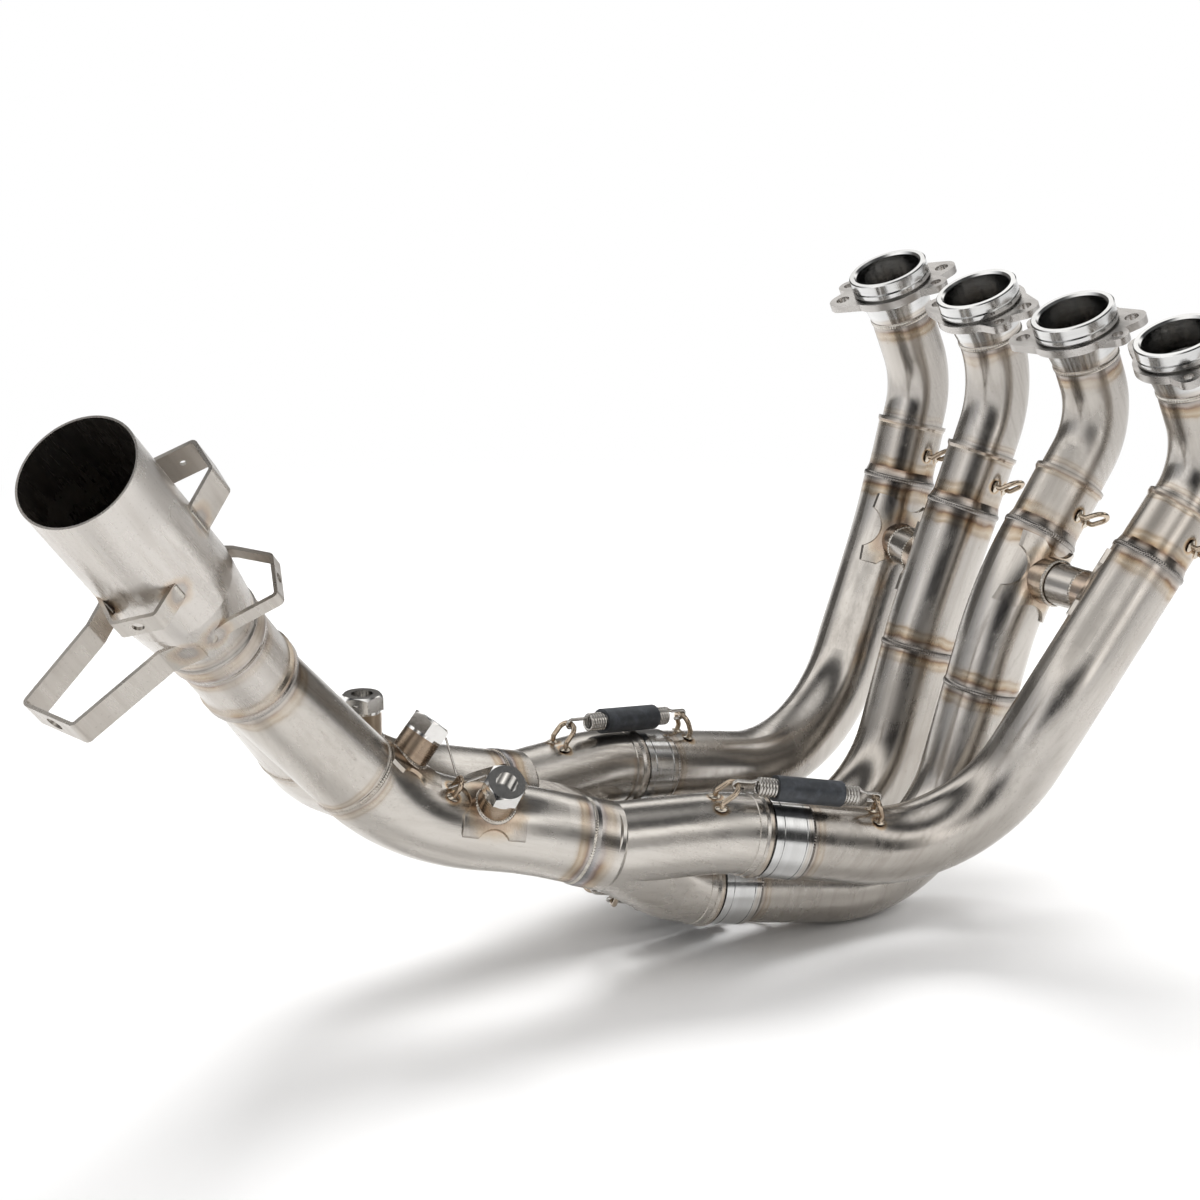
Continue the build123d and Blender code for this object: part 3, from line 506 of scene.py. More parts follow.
class Effects:
    """The shader node groups that several finishes share."""

    def __init__(self) -> None:
        """Builds each group once."""
        self.weld_tint = self.build_weld_tint()
        self.metal_grain = self.build_metal_grain()
        self.spot_tint = self.build_spot_tint()

    @staticmethod
    def group(name: str, inputs: Dict[str, str], outputs: Dict[str, str]) -> Tuple[
            NodeTree, Dict[str, Socket], bpy.types.Node]:
        """Makes an empty group with named sockets.

        Args:
            name: the group's name.
            inputs: name to type of each input.
            outputs: name to type of each output.

        Returns:
            The group's tree, its input sockets and its output node.
        """
        tree = NodeTree(bpy.data.node_groups.new(name, "ShaderNodeTree"))
        for side, sockets in (("INPUT", inputs), ("OUTPUT", outputs)):
            for socket, kind in sockets.items():
                tree.tree.interface.new_socket(name=socket, in_out=side, socket_type=f"NodeSocket{kind}")
        source = tree.add("NodeGroupInput").outputs
        return tree, {socket: source[socket] for socket in inputs}, tree.add("NodeGroupOutput")

    def build_weld_tint(self) -> bpy.types.NodeTree:
        """Builds heat colours in bands on both sides of a weld that runs round a tube, and at mild heat a painted
        shadow line right beside the bead.

        Returns:
            The node group.
        """
        tree, given, result = self.group(
            "weld_tint", {"Position": "Vector", "Centre": "Vector", "Axis": "Vector", "Reach": "Float",
                          "Strength": "Float", "Heat": "Float", "Base": "Color"}, {"Color": "Color"})
        offset = tree.vector("SUBTRACT", given["Position"], given["Centre"])
        along = tree.vector("DOT_PRODUCT", offset, given["Axis"])
        waver = tree.swing(tree.noise(given["Position"], BAND_WAVER), 0.5)
        share = tree.math("DIVIDE", tree.math("ABSOLUTE", along), given["Reach"])
        share = tree.math("ADD", share, tree.math("MULTIPLY", waver, tree.spread(share, 0.0, 0.4)), clamp=True)
        # At mild heat the bands start with a painted shadow line beside the bead.
        bands = tree.mix(given["Heat"], tree.ramp(share, MILD_HEAT_AND_SHADE_STOPS), tree.ramp(share, HOT_STOPS))
        near = tree.math("LESS_THAN", tree.vector("LENGTH", offset), BAND_REACH)
        patchy = tree.math("ADD", 0.45, tree.spread(tree.noise(given["Position"], BAND_PATCHES), 0.35, 0.65))
        fade = tree.math("MULTIPLY", tree.math("SUBTRACT", 1.0, tree.spread(share, 0.45, 1.0)), near)
        fade = tree.math("MULTIPLY", fade, patchy, clamp=True)
        mask = tree.math("MULTIPLY", fade, given["Strength"], clamp=True)
        tree.fill(result, {"Color": tree.mix(mask, given["Base"], bands)})
        return tree.tree

    def build_spot_tint(self) -> bpy.types.NodeTree:
        """Builds heat colours in a halo round a small weld.

        Returns:
            The node group.
        """
        tree, given, result = self.group(
            "spot_tint", {"Position": "Vector", "Centre": "Vector", "Reach": "Float", "Strength": "Float",
                          "Base": "Color"}, {"Color": "Color"})
        distance = tree.vector("LENGTH", tree.vector("SUBTRACT", given["Position"], given["Centre"]))
        waver = tree.swing(tree.noise(given["Position"], SPOT_WAVER), 0.5)
        share = tree.math("ADD", tree.math("DIVIDE", distance, given["Reach"]), waver, clamp=True)
        fade = tree.math("SUBTRACT", 1.0, tree.spread(share, 0.55, 1.0))
        mask = tree.math("MULTIPLY", fade, given["Strength"], clamp=True)
        tree.fill(result, {"Color": tree.mix(mask, given["Base"], tree.ramp(share, SPOT_STOPS))})
        return tree.tree

    def build_metal_grain(self) -> bpy.types.NodeTree:
        """Builds brushed grain, cloudy handling marks and fine specks on bare metal.

        Returns:
            The node group.
        """
        tree, given, result = self.group(
            "metal_grain", {"Position": "Vector", "Axis": "Vector", "Spread": "Float", "Along": "Float",
                            "Base": "Color", "Shade": "Color", "Roughness": "Float", "Wear": "Float"},
            {"Color": "Color", "Roughness": "Float", "Height": "Float"})
        where, axis, wear = given["Position"], given["Axis"], given["Wear"]
        depth = tree.vector("DOT_PRODUCT", where, axis)
        run = tree.vector("SCALE", axis, tree.math("MULTIPLY", depth, given["Along"]))
        brushed = tree.vector("ADD", tree.vector("SCALE", where, given["Spread"]), run)
        grain = tree.noise(brushed, GRAIN)
        streaks = tree.noise(brushed, STREAKS)
        cloud = tree.noise(where, DULL_MARKS)
        patch = tree.noise(where, WARM_PATCHES)
        specks = tree.spread(tree.noise(where, SPECKS), 0.62, 0.74)
        dull = tree.math("MULTIPLY", tree.spread(cloud, 0.42, 0.72), wear)
        warm = tree.math("MULTIPLY", tree.spread(patch, 0.35, 0.75), wear)
        warm = tree.math("ADD", tree.math("MULTIPLY", warm, 0.7),
                         tree.math("MULTIPLY", tree.spread(streaks, 0.4, 0.7), 0.3), clamp=True)
        colour = tree.mix(warm, given["Base"], given["Shade"])
        colour = tree.mix(tree.math("MULTIPLY", specks, tree.math("MULTIPLY", wear, 0.35)), colour,
                          SPECK_COLOUR)
        rough = tree.math("ADD", given["Roughness"], tree.math("MULTIPLY", dull, 0.16))
        rough = tree.math("ADD", rough, tree.swing(grain, 0.14), clamp=True)
        rough = tree.math("ADD", rough, tree.swing(streaks, 0.16), clamp=True)
        height = tree.math("ADD", tree.math("MULTIPLY", grain, 0.8), tree.math("MULTIPLY", cloud, 0.06))
        tree.fill(result, {"Color": colour, "Roughness": rough, "Height": height})
        return tree.tree


def new_material(name: str) -> Tuple[Material, NodeTree, Socket]:
    """Starts an empty node material.

    Args:
        name: the material's name.

    Returns:
        The material, its tree and the piece's own coordinates.
    """
    material = bpy.data.materials.new(name)
    material.use_nodes = True
    tree = NodeTree(material.node_tree)
    tree.tree.nodes.clear()
    return material, tree, tree.add("ShaderNodeTexCoord").outputs["Object"]


@dataclass(frozen=True)
class MetalFinish:
    """A bare metal finish with grain, handling marks and heat colours."""

    name: str
    base: Colour
    shade: Colour
    roughness: float
    wear: float
    spread: float = 1.0
    along: float = -0.92
    bump: float = 0.05
    bump_distance: float = 0.0006

    def material(self, effects: Effects, label: str, tints: Sequence[Tint] = (),
                 axis: Optional[Vector] = None) -> Material:
        """Builds the material of one piece.

        Args:
            effects: the shared node groups.
            label: the end of the material's name.
            tints: heated places on the piece.
            axis: the direction that the grain is laid by, upright if none is given.

        Returns:
            The material.
        """
        material, tree, where = new_material(f"{self.name}_{label}")
        grain = tree.add("ShaderNodeGroup", node_tree=effects.metal_grain)
        tree.fill(grain, {"Position": where, "Axis": axis or UP, "Spread": self.spread, "Along": self.along,
                          "Base": (*self.base, 1.0), "Shade": (*self.shade, 1.0), "Roughness": self.roughness,
                          "Wear": self.wear})
        colour = grain.outputs["Color"]
        for tint in tints:
            inputs = {"Position": where, "Base": colour, "Centre": tint.centre, "Reach": tint.halo.reach * MM,
                      "Strength": tint.halo.strength}
            shared = effects.spot_tint
            if tint.axis is not None:
                shared = effects.weld_tint
                inputs.update({"Axis": tint.axis, "Heat": tint.halo.heat})
            colour = tree.add("ShaderNodeGroup", inputs, node_tree=shared).outputs["Color"]
        bump = tree.add("ShaderNodeBump", {"Height": grain.outputs["Height"], "Strength": self.bump,
                                           "Distance": self.bump_distance})
        surface = tree.add("ShaderNodeBsdfPrincipled", {"Base Color": colour, "Metallic": 1.0,
                                                        "Roughness": grain.outputs["Roughness"],
                                                        "Normal": bump.outputs[0]})
        tree.add("ShaderNodeOutputMaterial", {"Surface": surface.outputs[0]})
        return material


@dataclass(frozen=True)
class RubberFinish:
    """Matte rubber with a faint mould bloom."""

    name: str = "sleeve_rubber"
    base: Colour = (0.020, 0.023, 0.028)
    bloom: Colour = (0.052, 0.058, 0.068)
    roughness: float = 0.45
    swing: float = 0.2
    bump: float = 0.15
    bump_distance: float = 0.0003

    def material(self) -> Material:
        """Builds the rubber material.

        Returns:
            The material.
        """
        material, tree, where = new_material(self.name)
        cloud = tree.noise(where, RUBBER_BLOOM)
        fine = tree.noise(where, RUBBER_GRAIN)
        colour = tree.mix(tree.spread(cloud, 0.4, 0.75), (*self.base, 1.0), (*self.bloom, 1.0))
        rough = tree.math("ADD", tree.math("MULTIPLY", cloud, self.swing), self.roughness - self.swing / 2)
        bump = tree.add("ShaderNodeBump", {"Height": fine, "Strength": self.bump, "Distance": self.bump_distance})
        surface = tree.add("ShaderNodeBsdfPrincipled", {"Base Color": colour, "Roughness": rough,
                                                        "Normal": bump.outputs[0]})
        tree.add("ShaderNodeOutputMaterial", {"Surface": surface.outputs[0]})
        return material


TUBE = MetalFinish("tube_titanium", (0.53, 0.50, 0.465), (0.36, 0.33, 0.295), 0.20, 0.9, bump=0.06)
SOCKET = MetalFinish("socket_titanium", (0.53, 0.495, 0.455), (0.35, 0.315, 0.275), 0.20, 0.95, bump=0.06)
COLLECTOR = MetalFinish("collector_titanium", (0.60, 0.57, 0.53), (0.45, 0.415, 0.375), 0.22, 0.85, bump=0.06)
OUTLET = MetalFinish("outlet_titanium", (0.62, 0.59, 0.555), (0.49, 0.45, 0.41), 0.25, 0.8, bump=0.05)
TURNED = MetalFinish("turned_titanium", (0.66, 0.66, 0.655), (0.48, 0.475, 0.465), 0.14, 0.4, 0.02, 0.9, 0.07)
PLATE = MetalFinish("flange_titanium", (0.52, 0.50, 0.48), (0.38, 0.36, 0.34), 0.27, 0.7, bump=0.06)
STRAP = MetalFinish("strap_titanium", (0.55, 0.52, 0.48), (0.42, 0.38, 0.34), 0.28, 0.8, bump=0.05)
BOSS = MetalFinish("boss_metal", (0.40, 0.32, 0.24), (0.25, 0.18, 0.13), 0.24, 0.9, 0.02, 0.9, 0.06)
PLUG = MetalFinish("plug_steel", (0.76, 0.75, 0.73), (0.62, 0.60, 0.58), 0.12, 0.4, 1.0, 0.0, 0.03)
WIRE = MetalFinish("spring_steel", (0.60, 0.58, 0.55), (0.36, 0.33, 0.30), 0.20, 0.7, 1.0, 0.0, 0.03)
HOOK = MetalFinish("hook_wire", (0.54, 0.45, 0.35), (0.28, 0.20, 0.14), 0.18, 1.0, 1.0, 0.0, 0.03)
# Bead colour darkened as painted shade: it stands for the dark studio mirrored in the pipe beads' rounded tops.
PAINTED_SHADE_BEAD = MetalFinish("painted_shade_weld_bead", (0.34, 0.32, 0.30), (0.12, 0.10, 0.085), 0.13, 1.0, 1.0, 0.0, 0.03)
BEAD = MetalFinish("weld_bead", (0.58, 0.55, 0.50), (0.26, 0.20, 0.15), 0.16, 1.0, 1.0, 0.0, 0.03)
PUDDLE = MetalFinish("weld_puddle", (0.64, 0.59, 0.51), (0.38, 0.30, 0.22), 0.18, 1.0, 1.0, 0.0, 0.03)


def skin(mesh: Mesh, rows: Rows, looped: bool = False, open_rows: bool = False) -> None:
    """Adds the faces between rows of points that follow each other.

    Args:
        mesh: the mesh that holds the points.
        rows: the rows, all of one length.
        looped: whether the last row meets the first.
        open_rows: whether a row's last point stays apart from its first.
    """
    for row, follow in zip(rows, rows[1:] + rows[:1] if looped else rows[1:]):
        for side in range(len(row) - open_rows):
            after = (side + 1) % len(row)
            mesh.faces.new((row[side], row[after], follow[after], follow[side]))


def cap(mesh: Mesh, rows: Rows) -> None:
    """Closes both ends of a skin.

    Args:
        mesh: the mesh that holds the points.
        rows: the skin's rows.
    """
    mesh.faces.new(rows[0][::-1])
    mesh.faces.new(rows[-1])


def ripple(step: int, valley: float) -> float:
    """Gives the swell of a weld bead.

    Args:
        step: which sample of the bead it is.
        valley: the swell's share between ripples.

    Returns:
        A share of the bead's height.
    """
    return valley + (1.0 - valley) * math.sin(math.pi * (step % RIPPLE_STEPS / RIPPLE_STEPS + RIPPLE_SHIFT))


def rings_along(mesh: Mesh, places: Sequence[Vector], radius: float, sides: int) -> Rows:
    """Adds rings of points round a path, carried on without twist.

    Args:
        mesh: the mesh that the points are added to.
        places: the middle of each ring, in metres.
        radius: the rings' radius in metres.
        sides: how many points each ring has.

    Returns:
        The rings.
    """
    run = (places[1] - places[0]).normalized()
    across = run.orthogonal().normalized()
    rings: Rows = []
    for index, place in enumerate(places):
        before, after = places[max(index - 1, 0)], places[min(index + 1, len(places) - 1)]
        run = (after - before).normalized()
        across = (across - run * across.dot(run)).normalized()
        other = run.cross(across)
        turns = [2 * math.pi * side / sides for side in range(sides)]
        rings.append([mesh.verts.new(place + (across * math.cos(turn) + other * math.sin(turn)) * radius)
                      for turn in turns])
    return rings


@dataclass(frozen=True)
class Seat:
    """Where a welded wire hook stands, its outward unit and the unit that it leans along."""

    carrier: str
    place: Triple
    out: Triple
    along: Triple
    spread: float = 11.0
    halo: Halo = Halo(6.5, 0.9)

    def feet(self) -> List[Vector]:
        """Gives the hook's feet.

        Returns:
            Their middles in metres.
        """
        side = Vector(self.out).cross(Vector(self.along)).normalized() * self.spread / 2
        return [(Vector(self.place) + side * sign) * MM for sign in (-1, 1)]


SEATS: Tuple[Seat, ...] = (
    Seat("upper_socket_1", (334.1, 110.7, 227.4), (0.306, -0.95, -0.057), (0.273, 0.031, 0.961)),
    Seat("upper_socket_2", (318.6, 24.1, 226.8), (0.288, -0.951, -0.115), (0.369, 0.0, 0.929)),
    Seat("upper_socket_3", (308.3, -63.9, 227.6), (0.254, -0.951, -0.178), (0.574, 0.0, 0.819)),
    Seat("upper_socket_4", (316.2, -149.3, 227.0), (0.221, -0.948, -0.228), (0.605, -0.05, 0.795)),
    Seat("bank_collector_left", (19.1, 53.3, 106.8), (0.063, -0.191, 0.98), (0.978, 0.209, -0.022)),
    Seat("header_tube_1", (118.9, 73.4, 90.5), (0.253, -0.146, 0.956), (0.957, 0.182, -0.226)),
    Seat("bank_collector_left", (15.2, 21.2, 44.8), (-0.511, -0.721, -0.467), (0.811, -0.224, -0.541)),
    Seat("header_tube_2_lower", (119.7, 18.7, 16.8), (-0.096, -0.746, -0.659), (0.985, 0.024, -0.17)),
    Seat("bank_collector_right", (15.2, -21.2, 44.7), (-0.512, 0.719, -0.469), (0.811, 0.224, -0.541)),
    Seat("header_tube_3_lower", (118.6, -18.9, 14.2), (-0.118, 0.746, -0.655), (0.979, -0.025, -0.205)),
    Seat("bank_collector_right", (45.2, -72.0, 104.7), (0.005, -0.377, 0.926), (0.978, -0.191, -0.084)),
    Seat("header_tube_4", (143.3, -87.1, 82.5), (0.126, -0.397, 0.909), (0.967, -0.154, -0.201)),
    Seat("second_tube_left", (-145.5, 37.1, 153.1), (0.596, 0.332, 0.731), (-0.802, 0.206, 0.56), 7.0),
    Seat("second_tube_right", (-105.4, -43.0, 130.4), (0.21, -0.623, 0.754), (-0.905, 0.168, 0.391), 7.0),
)


@dataclass(frozen=True)
class WeldBead:
    """A rippled bead of weld metal that runs round a tube, in millimetres."""

    ring: Ring
    width: float = 3.4
    height: float = 0.75
    pitch: float = 1.6
    sides: int = 8
    valley: float = 0.62
    lean: float = 0.12
    sunk: float = 0.1

    def build(self, mesh: Mesh) -> None:
        """Adds the bead to a mesh.

        Args:
            mesh: the mesh that the bead is added to.
        """
        axis = self.ring.axis.normalized()
        across = axis.orthogonal().normalized()
        other = axis.cross(across)
        steps = int(2 * math.pi * self.ring.radius / (self.pitch * MM)) * RIPPLE_STEPS
        rows: Rows = []
        for step in range(steps):
            turn = 2 * math.pi * step / steps
            swell = ripple(step, self.valley)
            out = across * math.cos(turn) + other * math.sin(turn)
            lean = (step % RIPPLE_STEPS / RIPPLE_STEPS - 0.5) * self.lean * self.width * MM
            row = []
            for side in range(self.sides + 1):
                angle = math.pi * side / self.sides
                rise = math.sin(angle) * self.height * swell * MM - self.sunk * MM
                shift = math.cos(angle) * self.width / 2 * MM + lean * math.sin(angle)
                row.append(mesh.verts.new(self.ring.centre + out * (self.ring.radius + rise) + axis * shift))
            rows.append(row)
        skin(mesh, rows, looped=True, open_rows=True)


@dataclass(frozen=True)
class Seam:
    """A rippled bead of weld metal along a path, standing on the surface's outward units."""

    points: Sequence[Vector]
    outs: Sequence[Vector]
    closed: bool
    width: float = 3.2
    height: float = 0.9
    pitch: float = 1.5
    sides: int = 8
    valley: float = 0.7
    tip: float = 0.35

    def build(self, mesh: Mesh) -> None:
        """Adds the bead to a mesh.

        Args:
            mesh: the mesh that the bead is added to.
        """
        samples = self.resampled()
        places = [place for place, _ in samples]
        last = len(places) - 1
        rows: Rows = []
        for index, (place, out) in enumerate(samples):
            before = places[index - 1] if index or self.closed else place
            after = places[(index + 1) % len(places)] if index < last or self.closed else place
            run = (after - before).normalized()
            side = out.cross(run).normalized()
            rise = run.cross(side).normalized()
            ends = 1.0 if self.closed else min(1.0, self.tip + min(index, last - index) / RIPPLE_STEPS)
            wide, high = self.width / 2 * MM * ends, self.height * MM * ripple(index, self.valley) * ends
            turns = [2 * math.pi * step / self.sides for step in range(self.sides)]
            rows.append([mesh.verts.new(place + side * math.cos(turn) * wide + rise * math.sin(turn) * high)
                         for turn in turns])
        skin(mesh, rows, looped=self.closed)
        if not self.closed:
            cap(mesh, rows)

    def resampled(self) -> List[Tuple[Vector, Vector]]:
        """Cuts the path into even steps.

        Returns:
            Each step's place and outward unit.
        """
        corners = list(zip(self.points, self.outs))
        if self.closed:
            corners.append(corners[0])
        lengths = [(second[0] - first[0]).length for first, second in zip(corners, corners[1:])]
        total = sum(lengths)
        count = max(2 * RIPPLE_STEPS, int(total / (self.pitch * MM)) * RIPPLE_STEPS)
        samples = []
        for index in range(count):
            left = total * index / (count if self.closed else count - 1)
            step = 0
            while step < len(lengths) - 1 and left > lengths[step]:
                left -= lengths[step]
                step += 1
            share = min(left / max(lengths[step], 1e-9), 1.0)
            (first, first_out), (second, second_out) = corners[step], corners[step + 1]
            samples.append((first.lerp(second, share), first_out.lerp(second_out, share).normalized()))
        return samples


@dataclass(frozen=True)
class Puddle:
    """A small oval dome of weld metal with fine rings, in millimetres, at the foot of a hook."""

    place: Vector
    out: Vector
    along: Vector
    length: float = 7.6
    width: float = 5.4
    height: float = 1.1
    rings: int = 7
    sides: int = 20
    closing: float = 0.88
    ring_height: float = 0.10
    ring_step: float = 2.4
    waver: float = 0.05
    sag: float = 0.16
    sunk: float = 0.12

    def build(self, mesh: Mesh) -> None:
        """Adds the dome to a mesh.

        Args:
            mesh: the mesh that the dome is added to.
        """
        out = self.out.normalized()
        along = (self.along - out * self.along.dot(out)).normalized()
        side = out.cross(along)
        rows: Rows = []
        for step in range(self.rings):
            share = 1.0 - step / (self.rings - 1) * self.closing
            rise = (1.0 - share ** 2) * self.height + self.ring_height * math.sin(step * self.ring_step)
            row = []
            for turn in range(self.sides):
                angle = 2 * math.pi * turn / self.sides
                reach = 1.0 + self.waver * math.sin(3 * angle + step)
                place = self.place + along * math.cos(angle) * share * reach * self.length / 2 * MM
                place += side * math.sin(angle) * share * reach * self.width / 2 * MM
                drop = (math.sin(angle) * share) ** 2 * self.sag
                row.append(mesh.verts.new(place + out * (rise - drop - self.sunk) * MM))
            rows.append(row)
        skin(mesh, rows)
        mesh.faces.new(rows[-1])


@dataclass(frozen=True)
class Boss:
    """A sensor boss on a second tube, its foot on the centre line and its units, in millimetres."""

    bank: Bank
    place: Triple
    out: Triple
    run: Triple
    radius: float = 10.5
    skin: float = 25.6
    sides: int = 48
    lean_out: float = 0.8
    weld: Pair = (3.4, 1.2)
    halo: Halo = Halo(24.0, 0.6)

    def seam(self) -> Seam:
        """Gives the weld round the boss where it meets the tube.

        Returns:
            The weld.
        """
        out, run = Vector(self.out).normalized(), Vector(self.run).normalized()
        lean = out.dot(run)
        along = (run - out * lean).normalized()
        level = math.sqrt(1.0 - lean ** 2)
        side = out.cross(along)
        points, outs = [], []
        for step in range(self.sides):
            turn = 2 * math.pi * step / self.sides
            near, wide = math.cos(turn) * self.radius, math.sin(turn) * self.radius
            half = near * level * lean
            rest = near ** 2 * (1.0 - level ** 2) + wide ** 2 - self.skin ** 2
            rise = (half + math.sqrt(half ** 2 - level ** 2 * rest)) / level ** 2
            spot = along * near + side * wide
            surface = spot + out * rise
            points.append((Vector(self.place) + surface) * MM)
            surface = (surface - run * surface.dot(run)).normalized()
            outs.append((surface + spot.normalized() * self.lean_out).normalized())
        return Seam(points, outs, True, *self.weld)

    def tint(self) -> Tint:
        """Gives the heat colours round the boss.

        Returns:
            The tint.
        """
        return Tint((Vector(self.place) + Vector(self.out) * self.halo.reach) * MM, None, self.halo)


BOSSES: Tuple[Boss, ...] = (
    Boss(Bank.LEFT, (-118.0, 34.6, 118.1), (0.0, 0.0, 1.0), (-0.898, -0.268, 0.349)),
    Boss(Bank.RIGHT, (-138.6, -25.1, 129.1), (0.613, -0.076, 0.787), (-0.789, 0.008, 0.615)),
    Boss(Bank.RIGHT, (-82.6, -35.2, 104.1), (-0.086, -0.675, 0.733), (-0.94, 0.298, 0.164)),
)


@dataclass(frozen=True)
class StrapFeet:
    """Where a bracket's two ends meet the outlet, as tip and bend across its axis, in millimetres."""

    angle: float
    depth: float
    width: float
    feet: Tuple[Tuple[Pair, Pair], Tuple[Pair, Pair]]
    weld: Pair = (5.2, 1.1)
    halo: Halo = Halo(12.0, 0.4)

    def seams(self) -> List[Seam]:
        """Gives the weld along each foot.

        Returns:
            The two welds.
        """
        layout = HeaderLayout()
        axis = layout.outlet_axis()
        heading, turn = math.radians(layout.outlet_heading), math.radians(self.angle)
        level = Vector((math.sin(heading), -math.cos(heading), 0.0))
        side = axis.cross(level) * math.cos(turn) - level * math.sin(turn)
        rise = (-axis).cross(side)
        found = []
        for tip, bend in self.feet:
            tip, run = Vector(tip), Vector(bend) - Vector(tip)
            places = []
            for depth in (self.depth, self.depth + self.width):
                narrow = max(depth - layout.cone_start, 0.0) / (layout.cone_end - layout.cone_start)
                radius = layout.outlet_radius - narrow * (layout.outlet_radius - layout.neck_radius)
                half = tip.dot(run)
                square = max(half ** 2 - run.dot(run) * (tip.dot(tip) - radius ** 2), 0.0)
                spot = tip + run * (math.sqrt(square) - half) / run.dot(run)
                out = (side * spot.x + rise * spot.y).normalized()
                places.append(layout.outlet_ring(depth, 0.0).centre + out * radius * MM)
            found.append(Seam(places, [out, out], False, *self.weld))
        return found

    def tints(self) -> List[Tint]:
        """Gives the heat colours round the feet.

        Returns:
            One tint for each foot.
        """
        return [Tint((seam.points[0] + seam.points[1]) / 2, None, self.halo) for seam in self.seams()]


STRAP_FEET: Tuple[StrapFeet, ...] = (
    StrapFeet(60.0, 54.0, 20.0, (((-22.0, 20.0), (-11.0, 30.0)), ((27.0, 10.0), (27.0, 33.0)))),
    StrapFeet(15.0, 110.0, 8.0, (((28.0, 6.0), (26.0, 22.0)), ((-21.0, 20.0), (-16.0, 27.0)))),
    StrapFeet(-120.0, 107.0, 17.0, (((27.0, 10.0), (19.0, 27.0)), ((-27.0, 4.0), (-33.0, 26.0)))),
    StrapFeet(-68.0, 65.5, 12.0, (((-23.0, 18.0), (-12.5, 39.5)), ((21.0, 20.0), (9.5, 39.5)))),
)


@dataclass(frozen=True)
class TubeLiner:
    """A tube inside the wall of the left second tube, which closes the gap in its inner side."""

    route: SecondRoute
    start: float = 12.0
    knee_radius: float = 150.0
    knee_steps: int = 12
    cover: float = 0.72
    radii: Pair = (23.95, 22.85)
    sides: int = 72

    def build(self, mesh: Mesh) -> None:
        """Adds the tube to a mesh.

        Args:
            mesh: the mesh that the tube is added to.
        """
        shells = [rings_along(mesh, self.path(), radius * MM, self.sides) for radius in self.radii]
        for rings in shells:
            skin(mesh, rings)
        for index in (0, -1):
            skin(mesh, [shells[0][index], shells[1][index]])

    def path(self) -> List[Vector]:
        """Gives the tube's centre line, rounded at the knee.

        Returns:
            Places in metres.
        """
        layout = HeaderLayout()
        outlet, knee = layout.place(*layout.bank_outlet), layout.place(*self.route.knee)
        last = layout.place(*self.route.last_knee)
        begin = outlet + (knee - outlet).normalized() * self.start * MM
        back, front = (begin - knee).normalized(), (last - knee).normalized()
        half = (math.pi - back.angle(front)) / 2
        radius = self.knee_radius * MM
        centre = knee + (back + front).normalized() * radius / math.cos(half)
        first, second = ((knee + way * radius * math.tan(half) - centre).normalized() for way in (back, front))
        places = [begin]
        places += [centre + first.slerp(second, step / self.knee_steps) * radius for step in range(self.knee_steps + 1)]
        return [*places, places[-1].lerp(last, self.cover)]


@dataclass(frozen=True)
class WoundSpring:
    """A close wound extension spring with a hook at each end, in millimetres."""

    name: str
    start: Triple
    end: Triple
    out: Triple
    outer: float = 5.5
    wire: float = 1.0
    coil: float = 66.0
    reach: float = 2.6
    tip_rise: float = 1.8
    hook_steps: int = 8
    neck_gap: float = 4.0
    bend_gap: float = 1.6
    bend_out: float = 0.7
    inset: float = 0.4
    steps: int = 18
    sides: int = 8

    def path(self) -> List[Vector]:
        """Gives the middle of the wire from one hook to the other.

        Returns:
            Places as sideways, sideways and along.
        """
        length = (Vector(self.end) - Vector(self.start)).length
        slack = (length - self.coil) / 2
        radius = self.outer - self.wire
        steps = (int(self.coil / (2 * self.wire)) - 1) * self.steps
        wound = []
        for step in range(steps + 1):
            angle = 2 * math.pi * step / self.steps
            rise = slack + self.wire + step / steps * (self.coil - 2 * self.wire)
            wound.append(Vector((math.cos(angle) * radius, math.sin(angle) * radius, rise)))
        hook = self.hook(slack)
        return hook + wound + [Vector((point.x, point.y, length - point.z)) for point in reversed(hook)]

    def hook(self, slack: float) -> List[Vector]:
        """Gives the hook at the start, from its tip to the first turn.

        Args:
            slack: the length from the end to the coil.

        Returns:
            Places as sideways, sideways and along.
        """
        points = [(-self.reach, self.reach * self.tip_rise)]
        for step in range(self.hook_steps + 1):
            angle = math.pi + math.pi * step / self.hook_steps
            points.append((math.cos(angle) * self.reach, math.sin(angle) * self.reach))
        points += [(self.reach, max(slack - self.neck_gap, 1.0)), (self.reach + self.bend_out, slack - self.bend_gap),
                   (self.outer - self.wire - self.inset, slack + self.wire * self.inset)]
        return [Vector((side, 0.0, along)) for side, along in points]

    def build(self, mesh: Mesh) -> None:
        """Adds the spring to a mesh.

        Args:
            mesh: the mesh that the spring is added to.
        """
        start, end = Vector(self.start), Vector(self.end)
        axis = (end - start).normalized()
        out = (Vector(self.out) - axis * axis.dot(Vector(self.out))).normalized()
        turn = Matrix((out, axis.cross(out), axis)).transposed()
        rings = rings_along(mesh, [(start + turn @ point) * MM for point in self.path()], self.wire * MM, self.sides)
        skin(mesh, rings)
        cap(mesh, rings)


SPRINGS: Tuple[WoundSpring, ...] = (
    WoundSpring("left_upper", (26.73, 52.46, 118.52), (115.39, 70.28, 104.21), (0.19, -0.167, 0.968)),
    WoundSpring("left_lower", (16.28, 9.15, 32.61), (111.35, 7.57, 8.31), (-0.171, -0.768, -0.618)),
    WoundSpring("right_lower", (15.96, -9.15, 32.71), (110.06, -7.66, 5.93), (-0.188, 0.765, -0.617)),
    WoundSpring("right_upper", (53.65, -78.15, 114.98), (139.29, -91.25, 95.31), (0.146, -0.402, 0.904)),
)


